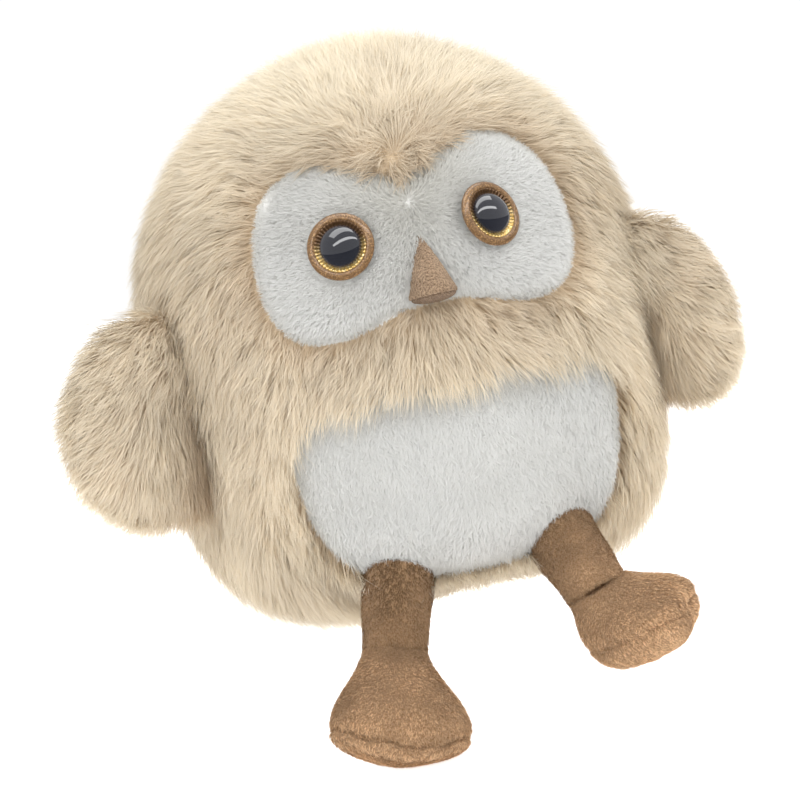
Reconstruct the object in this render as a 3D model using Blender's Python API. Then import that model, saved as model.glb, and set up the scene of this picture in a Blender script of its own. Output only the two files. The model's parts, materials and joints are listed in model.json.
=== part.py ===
"""Round plush owl: sewn body panels over stuffing, safety eyes, a beak, two wings and two dangling legs.

Metres, +Z up. The owl faces -Y and its left side is +X. The origin is the centre of the flat seat
under the body. Every piece is its own object; a moving piece has its origin on its joint's axis.
"""

from math import cos, pi, radians, sin, sqrt

import bmesh
import bpy
from mathutils import Matrix, Vector

MM = 0.001

# Body: a ball that is round above its waist and squarer below it, on a small flat seat.
BODY_RADIUS = 75 * MM
BODY_RISE = 78 * MM
BODY_DROP = 85 * MM
BODY_FULLNESS = 3.9
BODY_DEPTH = 0.95
SEAT_CUT = 1.5 * MM
WAIST_HEIGHT = BODY_DROP - SEAT_CUT
BODY_SIDES = 28
BODY_RINGS = 15

# Which way each side lies along x.
SIDES = {"right": -1, "left": 1}

PANEL = 2.5 * MM
GAP = 0.3 * MM

# Face.
EYE_AZIMUTH = radians(18.2)
EYE_HEIGHT = 104.6 * MM
EYE_SIDES = 20
BEAK_TOP = 103.5 * MM
BEAK_BOTTOM = 86.5 * MM
BEAK_HALF_WIDTH = 7.2 * MM
BEAK_DEPTH = 9.5 * MM

# Wings: cushions pinched to a straight seam on the body's side. The left one is a little shorter.
WING_AZIMUTH = radians(71)
WING_HEIGHT = 68 * MM
WING_LENGTH = {"right": 34 * MM, "left": 29 * MM}
WING_HALF_HEIGHT = 31 * MM
WING_HALF_THICKNESS = 11 * MM
WING_CLEARANCE = 1.8 * MM
WING_DROOP = 8 * MM
WING_TAPER = 0.20

# How far each wing is swung forward at rest.
WING_FORWARD = {"right": 0, "left": 25}

# Legs: soft tubes that hang from pockets in front of the seat.
HIP_X = 24 * MM
HIP_HEIGHT = 10 * MM
HIP_POCKET = 17.6 * MM
LEG_LENGTH = 29 * MM
LEG_RADIUS = 10.2 * MM
LEG_WALL = 1.0 * MM
LEG_SIDES = 16
FOOT_SEAM_DROP = 20.5 * MM
FOOT_DROP = 29.5 * MM
FOOT_WALL = 1.2 * MM

# How each leg hangs at rest: swing is forward, splay is outward, yaw turns the toes outward.
RIGHT_POSE = {"swing": 13, "splay": 17, "yaw": -4, "pitch": 0}
LEFT_POSE = {"swing": 42, "splay": 11, "yaw": 26, "pitch": 10}

# Smallest radius of a closed end, and a distance beyond everything.
POLE = 0.3 * MM
FAR = 0.2

FUR_CREAM = (0.80, 0.68, 0.50)
FUR_BEIGE = (0.62, 0.49, 0.34)
PLUSH_WHITE = (0.78, 0.78, 0.75)
SUEDE_TAN = (0.40, 0.27, 0.16)
SUEDE_BROWN = (0.30, 0.17, 0.09)
STUFFING_WHITE = (0.85, 0.85, 0.83)


# ---------------------------------------------------------------- helpers


def clear_scene():
    for old in list(bpy.data.objects):
        bpy.data.objects.remove(old, do_unlink=True)


def material(name, colour, roughness, metallic=0.0):
    """The named Principled material, made the first time it is asked for."""
    made = bpy.data.materials.get(name)
    if made is None:
        made = bpy.data.materials.new(name)
        made.use_nodes = True
        shader = made.node_tree.nodes["Principled BSDF"]
        shader.inputs["Base Color"].default_value = (*colour, 1)
        shader.inputs["Roughness"].default_value = roughness
        shader.inputs["Metallic"].default_value = metallic
        made.diffuse_color = (*colour, 1)
    return made


def fur(colour_name="fur_beige", colour=FUR_BEIGE):
    return material(colour_name, colour, 0.95)


def plush():
    return material("plush_white", PLUSH_WHITE, 0.9)


def suede():
    return material("suede_brown", SUEDE_BROWN, 0.9)


def stuffing():
    return material("stuffing", STUFFING_WHITE, 1.0)


def mesh_object(name, points, faces, look, origin=(0, 0, 0)):
    """A closed mesh from world points, with outward faces and its origin at the given point."""
    start = Vector(origin)
    mesh = bpy.data.meshes.new(name)
    mesh.from_pydata([Vector(p) - start for p in points], [], faces)
    work = bmesh.new()
    work.from_mesh(mesh)
    bmesh.ops.remove_doubles(work, verts=work.verts, dist=1e-6)
    bmesh.ops.recalc_face_normals(work, faces=work.faces)
    if work.calc_volume(signed=True) < 0:
        bmesh.ops.reverse_faces(work, faces=work.faces)
    work.to_mesh(mesh)
    work.free()
    mesh.shade_smooth()
    mesh.set_sharp_from_angle(angle=radians(40))
    made = bpy.data.objects.new(name, mesh)
    made.location = start
    bpy.context.scene.collection.objects.link(made)
    mesh.materials.append(look)
    return made


def bridge(rings, closed_ends=(True, True)):
    """Points and faces of a skin through rings of equal length, each closed end capped."""
    count = len(rings[0])
    points = [p for ring in rings for p in ring]
    faces = []
    for lower in range(len(rings) - 1):
        for side in range(count):
            after = (side + 1) % count
            base, above = lower * count, (lower + 1) * count
            faces.append((base + side, base + after, above + after, above + side))
    if closed_ends[0]:
        faces.append(tuple(reversed(range(count))))
    if closed_ends[1]:
        faces.append(tuple(range((len(rings) - 1) * count, len(rings) * count)))
    return points, faces


def shell(outer_rings, inner_rings):
    """A wall between two skins that share their direction: out along one, back along the other."""
    loop = list(outer_rings) + list(reversed(inner_rings))
    points, faces = bridge(loop, (False, False))
    count = len(outer_rings[0])
    last = (len(loop) - 1) * count
    for side in range(count):
        after = (side + 1) % count
        faces.append((last + side, last + after, after, side))
    return points, faces


def carve(obj, cutter, operation="DIFFERENCE"):
    """Applies one exact Boolean."""
    step = obj.modifiers.new("carve", "BOOLEAN")
    step.operation = operation
    step.solver = "EXACT"
    step.object = cutter
    graph = bpy.context.evaluated_depsgraph_get()
    result = bpy.data.meshes.new_from_object(obj.evaluated_get(graph))
    obj.modifiers.clear()
    obj.data = result


def discard(*cutters):
    for cutter in cutters:
        bpy.data.objects.remove(cutter, do_unlink=True)


def ring(radius, height, sides=EYE_SIDES, stretch=1.0):
    """A level circle, stretched along y if asked."""
    points = []
    for k in range(sides):
        turn = 2 * pi * k / sides
        points.append(Vector((radius * cos(turn), radius * stretch * sin(turn), height)))
    return points


def placed(rings, matrix):
    return [[matrix @ p for p in one] for one in rings]


def turned(name, profile, matrix, look, sides=EYE_SIDES, origin=(0, 0, 0)):
    """A solid turned from (radius, height) points, bottom to top, then placed."""
    rings = placed([ring(radius, height, sides) for radius, height in profile], matrix)
    points, faces = bridge(rings)
    return mesh_object(name, points, faces, look, origin)


def washer(name, profile, matrix, look, sides=EYE_SIDES):
    """A ring-shaped solid turned from a closed loop of (radius, height) points."""
    rings = placed([ring(radius, height, sides) for radius, height in profile], matrix)
    points, faces = shell(rings[:1], rings[1:][::-1])
    return mesh_object(name, points, faces, look)


def smooth_outline(corners, steps=4):
    """A closed Catmull-Rom curve through the corners."""
    count = len(corners)
    curve = []
    for k in range(count):
        p0, p1, p2, p3 = (Vector(corners[(k + j) % count]) for j in (-1, 0, 1, 2))
        for step in range(steps):
            t = step / steps
            slope = p2 - p0
            bend = 2 * p0 - 5 * p1 + 4 * p2 - p3
            twist = 3 * p1 - p0 - 3 * p2 + p3
            curve.append(0.5 * (2 * p1 + slope * t + bend * t**2 + twist * t**3))
    return curve


def mirrored_outline(half):
    """Both halves of an outline whose first and last points lie on the centre line."""
    return half + [(-x, z) for x, z in reversed(half[1:-1])]


def grown(outline, distance):
    """The outline moved outward along its own normals."""
    count = len(outline)
    area = 0.0
    for k in range(count):
        here, after = outline[k], outline[(k + 1) % count]
        area += here.x * after.y - after.x * here.y
    turn = 1 if area > 0 else -1
    moved = []
    for k in range(count):
        along = (outline[(k + 1) % count] - outline[k - 1]).normalized()
        moved.append(outline[k] + Vector((along.y, -along.x)) * distance * turn)
    return moved


def front_prism(outline, start):
    """A cutter: an outline drawn in x and z, standing out in front of the body's middle."""
    near = [Vector((p.x, start, p.y)) for p in outline]
    far = [Vector((p.x, -FAR, p.y)) for p in outline]
    points, faces = bridge([near, far])
    return mesh_object("cutter", points, faces, stuffing())


def box(low, high):
    """A cutter with the given lowest and highest corners."""
    around = ((low[0], low[1]), (high[0], low[1]), (high[0], high[1]), (low[0], high[1]))
    floor = [Vector((x, y, low[2])) for x, y in around]
    ceiling = [Vector((x, y, high[2])) for x, y in around]
    points, faces = bridge([floor, ceiling])
    return mesh_object("cutter", points, faces, stuffing())


def ball(centre, radius, sides=20, rings=11):
    """A cutter ball."""
    profile = []
    for k in range(rings + 1):
        angle = pi * k / rings
        profile.append((max(radius * sin(angle), POLE), -radius * cos(angle)))
    return turned("cutter", profile, Matrix.Translation(centre), stuffing(), sides)


# ---------------------------------------------------------------- body


def body_ring(angle, inset):
    """(radius, height) of the body at an angle from -90 degrees, the seat, to 90 degrees, the crown."""
    across, up = cos(angle), sin(angle)
    if up >= 0:
        return (BODY_RADIUS - inset) * across, WAIST_HEIGHT + (BODY_RISE - inset) * up
    power = 2 / BODY_FULLNESS
    radius = (BODY_RADIUS - inset) * max(across, 0) ** power
    height = WAIST_HEIGHT - (BODY_DROP - inset) * (-up) ** power
    return radius, max(height, inset)


def body_surface_radius(height, inset=0.0):
    """The body's radius to the side at a height."""
    if height >= WAIST_HEIGHT:
        share = (height - WAIST_HEIGHT) / (BODY_RISE - inset)
        return (BODY_RADIUS - inset) * sqrt(1 - share**2)
    share = (WAIST_HEIGHT - height) / (BODY_DROP - inset)
    return (BODY_RADIUS - inset) * (1 - share**BODY_FULLNESS) ** (1 / BODY_FULLNESS)


def body_point(azimuth, height):
    """The point of the body's skin at an azimuth from straight ahead, positive to the owl's left."""
    radius = body_surface_radius(height)
    return Vector((radius * sin(azimuth), -radius * cos(azimuth) * BODY_DEPTH, height))


def body_normal(azimuth, height):
    """The outward direction of the skin there, from two short steps along it."""
    step = 0.5 * MM
    across = body_point(azimuth + step, height) - body_point(azimuth - step, height)
    up = body_point(azimuth, height + step) - body_point(azimuth, height - step)
    return across.cross(up).normalized()


def body_skin(inset):
    """Rings of the body's skin from the seat to the crown."""
    rings = []
    for k in range(BODY_RINGS + 1):
        angle = -pi / 2 + pi * k / BODY_RINGS
        radius, height = body_ring(angle, inset)
        rings.append(ring(max(radius, POLE), height, BODY_SIDES, BODY_DEPTH))
    return rings


def body_solid(name, inset, look):
    points, faces = bridge(body_skin(inset))
    return mesh_object(name, points, faces, look)


# Seam lines of the face and the belly: the right half of each, as (x, z) seen from the front.
MASK_HALF = [
    (0, 124.5 * MM),
    (12 * MM, 128 * MM),
    (24 * MM, 130 * MM),
    (36 * MM, 127.5 * MM),
    (45 * MM, 118 * MM),
    (48.5 * MM, 103 * MM),
    (47.5 * MM, 89 * MM),
    (40.5 * MM, 80 * MM),
    (27 * MM, 78.5 * MM),
    (12.5 * MM, 82.5 * MM),
    (0, 84 * MM),
]
BELLY_HALF = [
    (0, 63 * MM),
    (22 * MM, 63 * MM),
    (42 * MM, 61 * MM),
    (51 * MM, 51 * MM),
    (51.5 * MM, 40 * MM),
    (48.5 * MM, 25 * MM),
    (39 * MM, 11 * MM),
    (21 * MM, 5 * MM),
    (0, 4 * MM),
]
CHEST_HALF_WIDTH = 56 * MM
CHEST_TOP = 94 * MM
CHEST_BOTTOM = 50 * MM
CROWN_HALF_WIDTH = 40 * MM
CROWN_BOTTOM = 120 * MM
SIDE_SEAM_Y = 6 * MM
BASE_TOP = 4.5 * MM


def hip_pivot(side):
    radius = body_surface_radius(HIP_HEIGHT)
    return Vector((side * HIP_X, -sqrt(radius**2 - HIP_X**2) * BODY_DEPTH, HIP_HEIGHT))


def panel_blank():
    """The whole fabric shell: the skin with the stuffing's room taken out."""
    blank = body_solid("blank", 0, fur())
    hollow = body_solid("hollow", PANEL, fur())
    carve(blank, hollow)
    discard(hollow)
    return blank


def panel(name, blank, keep, remove, look):
    """One panel: the shell inside the keep regions and outside the remove regions."""
    made = bpy.data.objects.new(name, blank.data.copy())
    bpy.context.scene.collection.objects.link(made)
    for region in keep:
        carve(made, region, "INTERSECT")
    for region in remove:
        carve(made, region)
    made.data.materials.clear()
    made.data.materials.append(look)
    made.data.name = name


def regions():
    """Every seam as a pair of cutters, one for each side of the gap."""
    half = GAP / 2
    mask = smooth_outline(mirrored_outline(MASK_HALF))
    belly = smooth_outline(mirrored_outline(BELLY_HALF))
    chest = [
        Vector((-CHEST_HALF_WIDTH, CHEST_BOTTOM)),
        Vector((CHEST_HALF_WIDTH, CHEST_BOTTOM)),
        Vector((CHEST_HALF_WIDTH, CHEST_TOP)),
        Vector((-CHEST_HALF_WIDTH, CHEST_TOP)),
    ]
    crown = [
        Vector((-CROWN_HALF_WIDTH, CROWN_BOTTOM)),
        Vector((CROWN_HALF_WIDTH, CROWN_BOTTOM)),
        Vector((CROWN_HALF_WIDTH, FAR)),
        Vector((-CROWN_HALF_WIDTH, FAR)),
    ]
    cut = {}
    for name, outline in (("mask", mask), ("belly", belly), ("chest", chest), ("crown", crown)):
        cut[name + "_in"] = front_prism(grown(outline, -half), start=SIDE_SEAM_Y - half)
        cut[name + "_out"] = front_prism(grown(outline, half), start=SIDE_SEAM_Y + half)
    cut["front"] = box((-FAR, -FAR, -FAR), (FAR, SIDE_SEAM_Y - half, FAR))
    cut["back"] = box((-FAR, SIDE_SEAM_Y + half, -FAR), (FAR, FAR, FAR))
    cut["left"] = box((half, -FAR, -FAR), (FAR, FAR, FAR))
    cut["right"] = box((-FAR, -FAR, -FAR), (-half, FAR, FAR))
    cut["above_base"] = box((-FAR, -FAR, BASE_TOP + half), (FAR, FAR, FAR))
    cut["below_base"] = box((-FAR, -FAR, -FAR), (FAR, FAR, BASE_TOP - half))
    return cut


def build_panels():
    blank = panel_blank()
    cut = regions()
    front, back, above = cut["front"], cut["back"], cut["above_base"]
    cream = fur("fur_cream", FUR_CREAM)
    panel("face_mask", blank, [front, cut["mask_in"]], [], plush())
    panel("belly_panel", blank, [front, above, cut["belly_in"]], [], plush())
    panel("chest_band", blank, [front, cut["chest_in"]], [cut["mask_out"], cut["belly_out"]], fur())
    panel("crown_panel", blank, [front, cut["crown_in"]], [cut["mask_out"]], cream)
    trims = [cut[name + "_out"] for name in ("mask", "belly", "chest", "crown")]
    for side in ("left", "right"):
        panel("side_panel_" + side, blank, [front, above, cut[side]], trims, fur())
        panel("back_panel_" + side, blank, [back, above, cut[side]], [], fur())
    panel("base_panel", blank, [cut["below_base"]], [], fur())
    discard(blank, *cut.values())


def build_body():
    """The sewn skin, its filling, and a pocket through both for each leg to move in."""
    build_panels()
    body_solid("body_stuffing", PANEL + GAP, stuffing())
    for side in SIDES.values():
        pocket = ball(hip_pivot(side), HIP_POCKET)
        for name in ("body_stuffing", "belly_panel", "base_panel", "side_panel_left", "side_panel_right"):
            carve(bpy.data.objects[name], pocket)
        discard(pocket)


# ---------------------------------------------------------------- eyes


def eye_frame(side):
    """Places an eye: its own z axis leaves the skin, with its origin on the skin."""
    azimuth = side * EYE_AZIMUTH
    turn = body_normal(azimuth, EYE_HEIGHT).to_track_quat("Z", "Y").to_matrix().to_4x4()
    return Matrix.Translation(body_point(azimuth, EYE_HEIGHT)) @ turn


EYE_RADIUS = 10 * MM
IRIS_RADIUS = 7.8 * MM
PUPIL_RADIUS = 5.7 * MM
PUPIL_RISE = 3.4 * MM
EYE_EDGE = 0.7 * MM
EYE_POST_RADIUS = 2.2 * MM
EYE_POST_LENGTH = 11 * MM
EYE_PLATE_LOW = 0.4 * MM
EYE_PLATE_HIGH = 1.2 * MM
WASHER_RADIUS = 6.5 * MM
WASHER_THICKNESS = 1.4 * MM
WASHER_DEPTH = PANEL + 1.8 * MM
CUT_ABOVE = 4 * MM


def dome(radius, base, rise, steps=5):
    """Profile of a dome from its foot's centre to its crown."""
    profile = [(POLE, base), (radius, base)]
    for k in range(1, steps + 1):
        angle = pi / 2 * k / steps
        profile.append((max(radius * cos(angle), POLE), base + 0.4 * MM + rise * sin(angle)))
    return profile


def build_eye(side, name):
    place = eye_frame(side)
    black = material("eye_black", (0.015, 0.015, 0.02), 0.05)
    gold = material("eye_gold", (0.75, 0.50, 0.16), 0.3, 0.8)
    amber = material("eye_amber", (0.36, 0.17, 0.05), 0.35, 0.2)
    plastic = material("eye_plastic", (0.02, 0.02, 0.02), 0.4)
    plate = EYE_RADIUS - 0.2 * MM
    stem = [
        (POLE, -EYE_POST_LENGTH),
        (EYE_POST_RADIUS * 0.7, -EYE_POST_LENGTH),
        (EYE_POST_RADIUS, -EYE_POST_LENGTH + 1 * MM),
        (EYE_POST_RADIUS, EYE_PLATE_LOW),
        (plate, EYE_PLATE_LOW),
        (plate, EYE_PLATE_HIGH),
        (POLE, EYE_PLATE_HIGH),
    ]
    turned("eye_stem_" + name, stem, place, plastic)
    floor = EYE_PLATE_HIGH + GAP
    rim = [
        (IRIS_RADIUS + GAP, floor),
        (EYE_RADIUS, floor),
        (EYE_RADIUS, floor + EYE_EDGE),
        (EYE_RADIUS - EYE_EDGE, floor + 1.5 * MM),
        (IRIS_RADIUS + GAP, floor + 1.9 * MM),
    ]
    washer("eye_rim_" + name, rim, place, amber)
    iris = [
        (PUPIL_RADIUS + GAP, floor),
        (IRIS_RADIUS, floor),
        (IRIS_RADIUS, floor + 1.7 * MM),
        (PUPIL_RADIUS + GAP, floor + 2.1 * MM),
    ]
    washer("eye_iris_" + name, iris, place, gold)
    turned("eye_pupil_" + name, dome(PUPIL_RADIUS, floor, PUPIL_RISE), place, black)
    lock = [
        (EYE_POST_RADIUS + GAP, -WASHER_DEPTH - WASHER_THICKNESS),
        (WASHER_RADIUS, -WASHER_DEPTH - WASHER_THICKNESS),
        (WASHER_RADIUS, -WASHER_DEPTH),
        (EYE_POST_RADIUS + GAP, -WASHER_DEPTH),
    ]
    washer("eye_washer_" + name, lock, place, plastic)
    cut_eye_room(place)


def cut_eye_room(place):
    """A post hole through the mask, and room in the stuffing for the post and its washer."""
    hole_depth = -PANEL - 3.5 * MM
    room_depth = -EYE_POST_LENGTH - 1 * MM
    rooms = (
        ("face_mask", EYE_POST_RADIUS + GAP, hole_depth),
        ("body_stuffing", WASHER_RADIUS + 0.5 * MM, room_depth),
    )
    for name, radius, depth in rooms:
        profile = [(POLE, depth), (radius, depth), (radius, CUT_ABOVE), (POLE, CUT_ABOVE)]
        cutter = turned("cutter", profile, place, stuffing())
        carve(bpy.data.objects[name], cutter)
        discard(cutter)


# ---------------------------------------------------------------- beak


BEAK_STEPS = 6
BEAK_SIDES = 16
BEAK_TIP = 0.08
BEAK_SHEET = 1.5 * MM
BEAK_UNDERSIDE = 1.2 * MM
BEAK_STAND_OFF = 2 * GAP


def beak_ring(height, scale, back):
    """A half-oval standing out from the face, closed along its flat back."""
    share = (BEAK_TOP - height) / (BEAK_TOP - BEAK_BOTTOM)
    wide = BEAK_HALF_WIDTH * share**0.85 * scale
    deep = BEAK_DEPTH * share**0.9 * scale
    rows = []
    for k in range(BEAK_SIDES + 1):
        angle = pi * k / BEAK_SIDES
        rows.append(Vector((-wide * cos(angle), back - deep * sin(angle), height)))
    return rows


def beak_rings(scale, stand_off):
    """Sections from the beak's tip down to its foot, leaning back with the face."""
    face = body_point(0, BEAK_BOTTOM).y
    lean = body_point(0, BEAK_TOP).y - face
    made = []
    for k in range(BEAK_STEPS + 1):
        share = (1 - BEAK_TIP) * (1 - k / BEAK_STEPS)
        height = BEAK_BOTTOM + (BEAK_TOP - BEAK_BOTTOM) * share
        made.append(beak_ring(height, scale, face - BEAK_STAND_OFF - stand_off + lean * share))
    return made


def shifted(rings, offset):
    return [[p + Vector(offset) for p in one] for one in rings]


def build_beak():
    """A half cone with its point up, its open foot closed by a separate underside."""
    look = material("suede_tan", SUEDE_TAN, 0.9)
    points, faces = bridge(beak_rings(1.0, 0.6 * MM))
    cover = mesh_object("beak_cover", points, faces, look)
    points, faces = bridge(shifted(beak_rings(0.8, 0.4 * MM), (0, 0, -BEAK_SHEET)))
    room = mesh_object("cutter", points, faces, look)
    carve(cover, room)
    discard(room)
    packed = shifted(beak_rings(0.68, 0.6 * MM), (0, -GAP, -BEAK_SHEET - 0.7 * MM))
    points, faces = bridge(packed[1:-1])
    mesh_object("beak_stuffing", points, faces, stuffing())
    foot = beak_rings(0.97, 0.6 * MM)[-1:]
    points, faces = bridge(shifted(foot, (0, 0, -GAP - BEAK_UNDERSIDE)) + shifted(foot, (0, 0, -GAP)))
    mesh_object("beak_underside", points, faces, look)


# ---------------------------------------------------------------- wings


WING_SIDES = 20
WING_RINGS = 4
WING_CLOTH = 1.4 * MM
WING_TIP_ROUND = -0.15
WING_SEAM_FLAT = -0.45
WING_HOLLOW_EDGE = 0.93
WING_FILLING_EDGE = 0.9
WING_FULLNESS = 0.6
RING_START = 0.02


def wing_frame(side, name):
    """Places a wing: its x runs outward from the seam, its y toward the owl's back, its z up the seam."""
    azimuth = side * WING_AZIMUTH
    radius = BODY_RADIUS + WING_CLEARANCE
    seam = Vector((radius * sin(azimuth), -radius * cos(azimuth) * BODY_DEPTH, WING_HEIGHT))
    heading = side * (WING_AZIMUTH - radians(WING_FORWARD[name]))
    out = Vector((sin(heading), -cos(heading), 0))
    up = Vector((0, 0, 1))
    turn = Matrix((out, up.cross(out), up)).transposed().to_4x4()
    return Matrix.Translation(seam) @ turn


def wing_outline(angle, scale, length):
    """A plump D: straight at the seam, rounded outside, hanging a little lower than it rises."""
    half = length / 2
    across, up = cos(angle), sin(angle)
    x = half + half * scale * across * abs(across) ** (WING_TIP_ROUND if across > 0 else WING_SEAM_FLAT)
    z = WING_HALF_HEIGHT * (1 - WING_TAPER * across) * up * scale - WING_DROOP * x / length
    return x, z


def wing_cap(facing, place, thickness, edge, length):
    """Rings from the middle of one face out to its edge, thinning to nothing there."""
    rings = []
    for k in range(WING_RINGS + 1):
        share = max(k / WING_RINGS, RING_START)
        inside = max(0.0, 1 - (share / edge) ** 2)
        height = thickness * inside**WING_FULLNESS + GAP / 2
        row = []
        for j in range(WING_SIDES):
            x, z = wing_outline(2 * pi * j / WING_SIDES, share, length)
            row.append(place @ Vector((x, facing * height, z)))
        rings.append(row)
    return rings


def build_wing(side, name):
    place = wing_frame(side, name)
    seam = place.translation
    length = WING_LENGTH[name]
    for facing, label in ((-1, "front"), (1, "back")):
        outer = wing_cap(facing, place, WING_HALF_THICKNESS, 1.0, length)
        inner = wing_cap(facing, place, WING_HALF_THICKNESS - WING_CLOTH, WING_HOLLOW_EDGE, length)
        points, faces = bridge(outer + inner[::-1][1:])
        mesh_object(f"wing_{label}_{name}", points, faces, fur(), seam)
    inside = WING_HALF_THICKNESS - WING_CLOTH - 2 * GAP
    front = wing_cap(-1, place, inside, WING_FILLING_EDGE, length)[:-1]
    back = wing_cap(1, place, inside, WING_FILLING_EDGE, length)[:-1]
    points, faces = bridge(front + back[::-1])
    mesh_object(f"wing_stuffing_{name}", points, faces, stuffing(), seam)


# ---------------------------------------------------------------- legs


def leg_frame(side, pose):
    """Places a leg: its own origin is the hip, and it hangs along its -z with the toes toward its -y."""
    swing, splay = radians(pose["swing"]), radians(pose["splay"])
    axis = splay_axis(side, swing)
    return (
        Matrix.Translation(hip_pivot(side))
        @ Matrix.Rotation(splay, 4, axis)
        @ Matrix.Rotation(-swing, 4, "X")
    )


def splay_axis(side, swing):
    """The axis a hanging leg turns about when it moves outward."""
    return Vector((0, -side * cos(swing), side * sin(swing)))


def foot_frame(side, pose):
    """Places a foot: its own origin is the ankle."""
    return (
        leg_frame(side, pose)
        @ Matrix.Translation((0, 0, -LEG_LENGTH))
        @ Matrix.Rotation(side * radians(pose["yaw"]), 4, "Z")
        @ Matrix.Rotation(radians(pose["pitch"]), 4, "X")
    )


ANKLE_BALL = 8.6 * MM
ANKLE_SOCKET = 9.4 * MM
SLEEVE_FOOT = 4 * MM
TAB_LOW = 11.4 * MM
TAB_HIGH = 13.4 * MM
TAB_RADIUS = 4.5 * MM
TAB_SIDES = 12


def half_ball(radius, centre, up, steps=4):
    """(radius, height) points of a half ball, from its rim to its tip."""
    points = []
    for k in range(steps + 1):
        angle = pi / 2 * k / steps
        points.append((max(radius * cos(angle), POLE), centre + up * radius * sin(angle)))
    return points


def leg_profile(radius, foot_end):
    """(radius, height) points of a leg tube from its open foot end to its rounded hip."""
    return [(radius, foot_end), (radius, -LEG_LENGTH / 2), *half_ball(radius, 0, 1)]


def build_leg(side, name, pose):
    """A tube of cloth and its filling, and the seam allowance that ties it into the body."""
    place = leg_frame(side, pose)
    hip = hip_pivot(side)
    foot_end = -LEG_LENGTH + SLEEVE_FOOT
    inside = LEG_RADIUS - LEG_WALL
    outer = [ring(r, z, LEG_SIDES) for r, z in leg_profile(LEG_RADIUS, foot_end)]
    inner = [ring(r, z, LEG_SIDES) for r, z in leg_profile(inside, foot_end)]
    points, faces = shell(placed(outer, place), placed(inner, place))
    mesh_object("leg_sleeve_" + name, points, faces, suede(), hip)

    fill = [(POLE, foot_end), *leg_profile(inside - GAP, foot_end)]
    core = turned("leg_stuffing_" + name, fill, place, stuffing(), LEG_SIDES, hip)
    socket = ball(place @ Vector((0, 0, -LEG_LENGTH)), ANKLE_SOCKET)
    carve(core, socket)
    discard(socket)

    tab = [(POLE, TAB_LOW), (TAB_RADIUS, TAB_LOW), (TAB_RADIUS, TAB_HIGH), (POLE, TAB_HIGH)]
    swing_only = leg_frame(side, {**pose, "splay": 0})
    turned("hip_tab_" + name, tab, swing_only, suede(), TAB_SIDES, hip)


FOOT_HEEL = 11 * MM
FOOT_TOE = 28 * MM
FOOT_HALF_WIDTH = 22 * MM
UPPER_LEVELS = (0.12, 0.35, 0.6, 0.82, 1.0)
SOLE_LEVELS = (0, 0.35, 0.7, 1.0)


def foot_outline(angle, inset):
    """The seam around a foot: a narrow heel behind the ankle that fans out to broad toes."""
    middle = (FOOT_HEEL - FOOT_TOE) / 2
    reach = (FOOT_HEEL + FOOT_TOE) / 2 - inset
    across, along = cos(angle), sin(angle)
    fan = 0.88 - 0.26 * along
    return (FOOT_HALF_WIDTH - inset) * across * fan, middle + reach * along


def foot_ring(share, inset):
    """The foot's section between the ankle (share 0) and its seam (share 1)."""
    ease = share**1.25
    height = -share * FOOT_SEAM_DROP
    neck = ANKLE_BALL - inset
    row = []
    for k in range(LEG_SIDES):
        angle = 2 * pi * k / LEG_SIDES
        near = Vector((neck * cos(angle), neck * sin(angle), height))
        far = Vector((*foot_outline(angle, inset), height))
        row.append(near.lerp(far, ease))
    return row


def sole_ring(share, inset, top):
    """The foot's section between its seam (share 0) and the bottom of the sole (share 1)."""
    angle = pi / 2 * share
    shrink = max(cos(angle) ** 0.8, 0.03)
    height = top - (FOOT_DROP - FOOT_SEAM_DROP - inset) * sin(angle)
    middle = (FOOT_HEEL - FOOT_TOE) / 2
    row = []
    for k in range(LEG_SIDES):
        x, y = foot_outline(2 * pi * k / LEG_SIDES, inset)
        row.append(Vector((x * shrink, middle + (y - middle) * shrink, height)))
    return row


def build_foot(side, name, pose):
    """An upper gathered at the ankle, a sole sewn to it round the seam, and the filling of both."""
    place = foot_frame(side, pose)
    ankle = place.translation
    outer = [foot_ring(share, 0) for share in UPPER_LEVELS]
    inner = [foot_ring(share, FOOT_WALL) for share in UPPER_LEVELS]
    points, faces = shell(placed(outer, place), placed(inner, place))
    mesh_object("foot_upper_" + name, points, faces, suede(), ankle)

    seam = -FOOT_SEAM_DROP - GAP
    outer = [sole_ring(share, 0, seam) for share in SOLE_LEVELS]
    inner = [sole_ring(share, FOOT_WALL, seam) for share in SOLE_LEVELS]
    points, faces = shell(placed(outer, place), placed(inner, place))
    mesh_object("foot_sole_" + name, points, faces, suede(), ankle)

    room = FOOT_WALL + GAP
    fill = [sole_ring(share, room, seam) for share in reversed(SOLE_LEVELS)]
    fill += [foot_ring(share, room) for share in reversed(UPPER_LEVELS)]
    fill += [ring(r, z, LEG_SIDES) for r, z in half_ball(ANKLE_BALL - room, 0, 1)]
    points, faces = bridge(placed(fill, place))
    mesh_object("foot_stuffing_" + name, points, faces, stuffing(), ankle)


# ---------------------------------------------------------------- the owl


def main():
    clear_scene()
    build_body()
    poses = {"right": RIGHT_POSE, "left": LEFT_POSE}
    for name, side in SIDES.items():
        build_eye(side, name)
        build_wing(side, name)
        build_leg(side, name, poses[name])
        build_foot(side, name, poses[name])
    build_beak()


main()
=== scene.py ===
"""Looks of the round plush owl: long fur and short plush grown as fine strands, and moulded eyes."""

import json
from math import cos, pi, radians, sin, tau

import bpy
import numpy as np
from mathutils import Matrix, Vector
from mathutils.kdtree import KDTree


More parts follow.
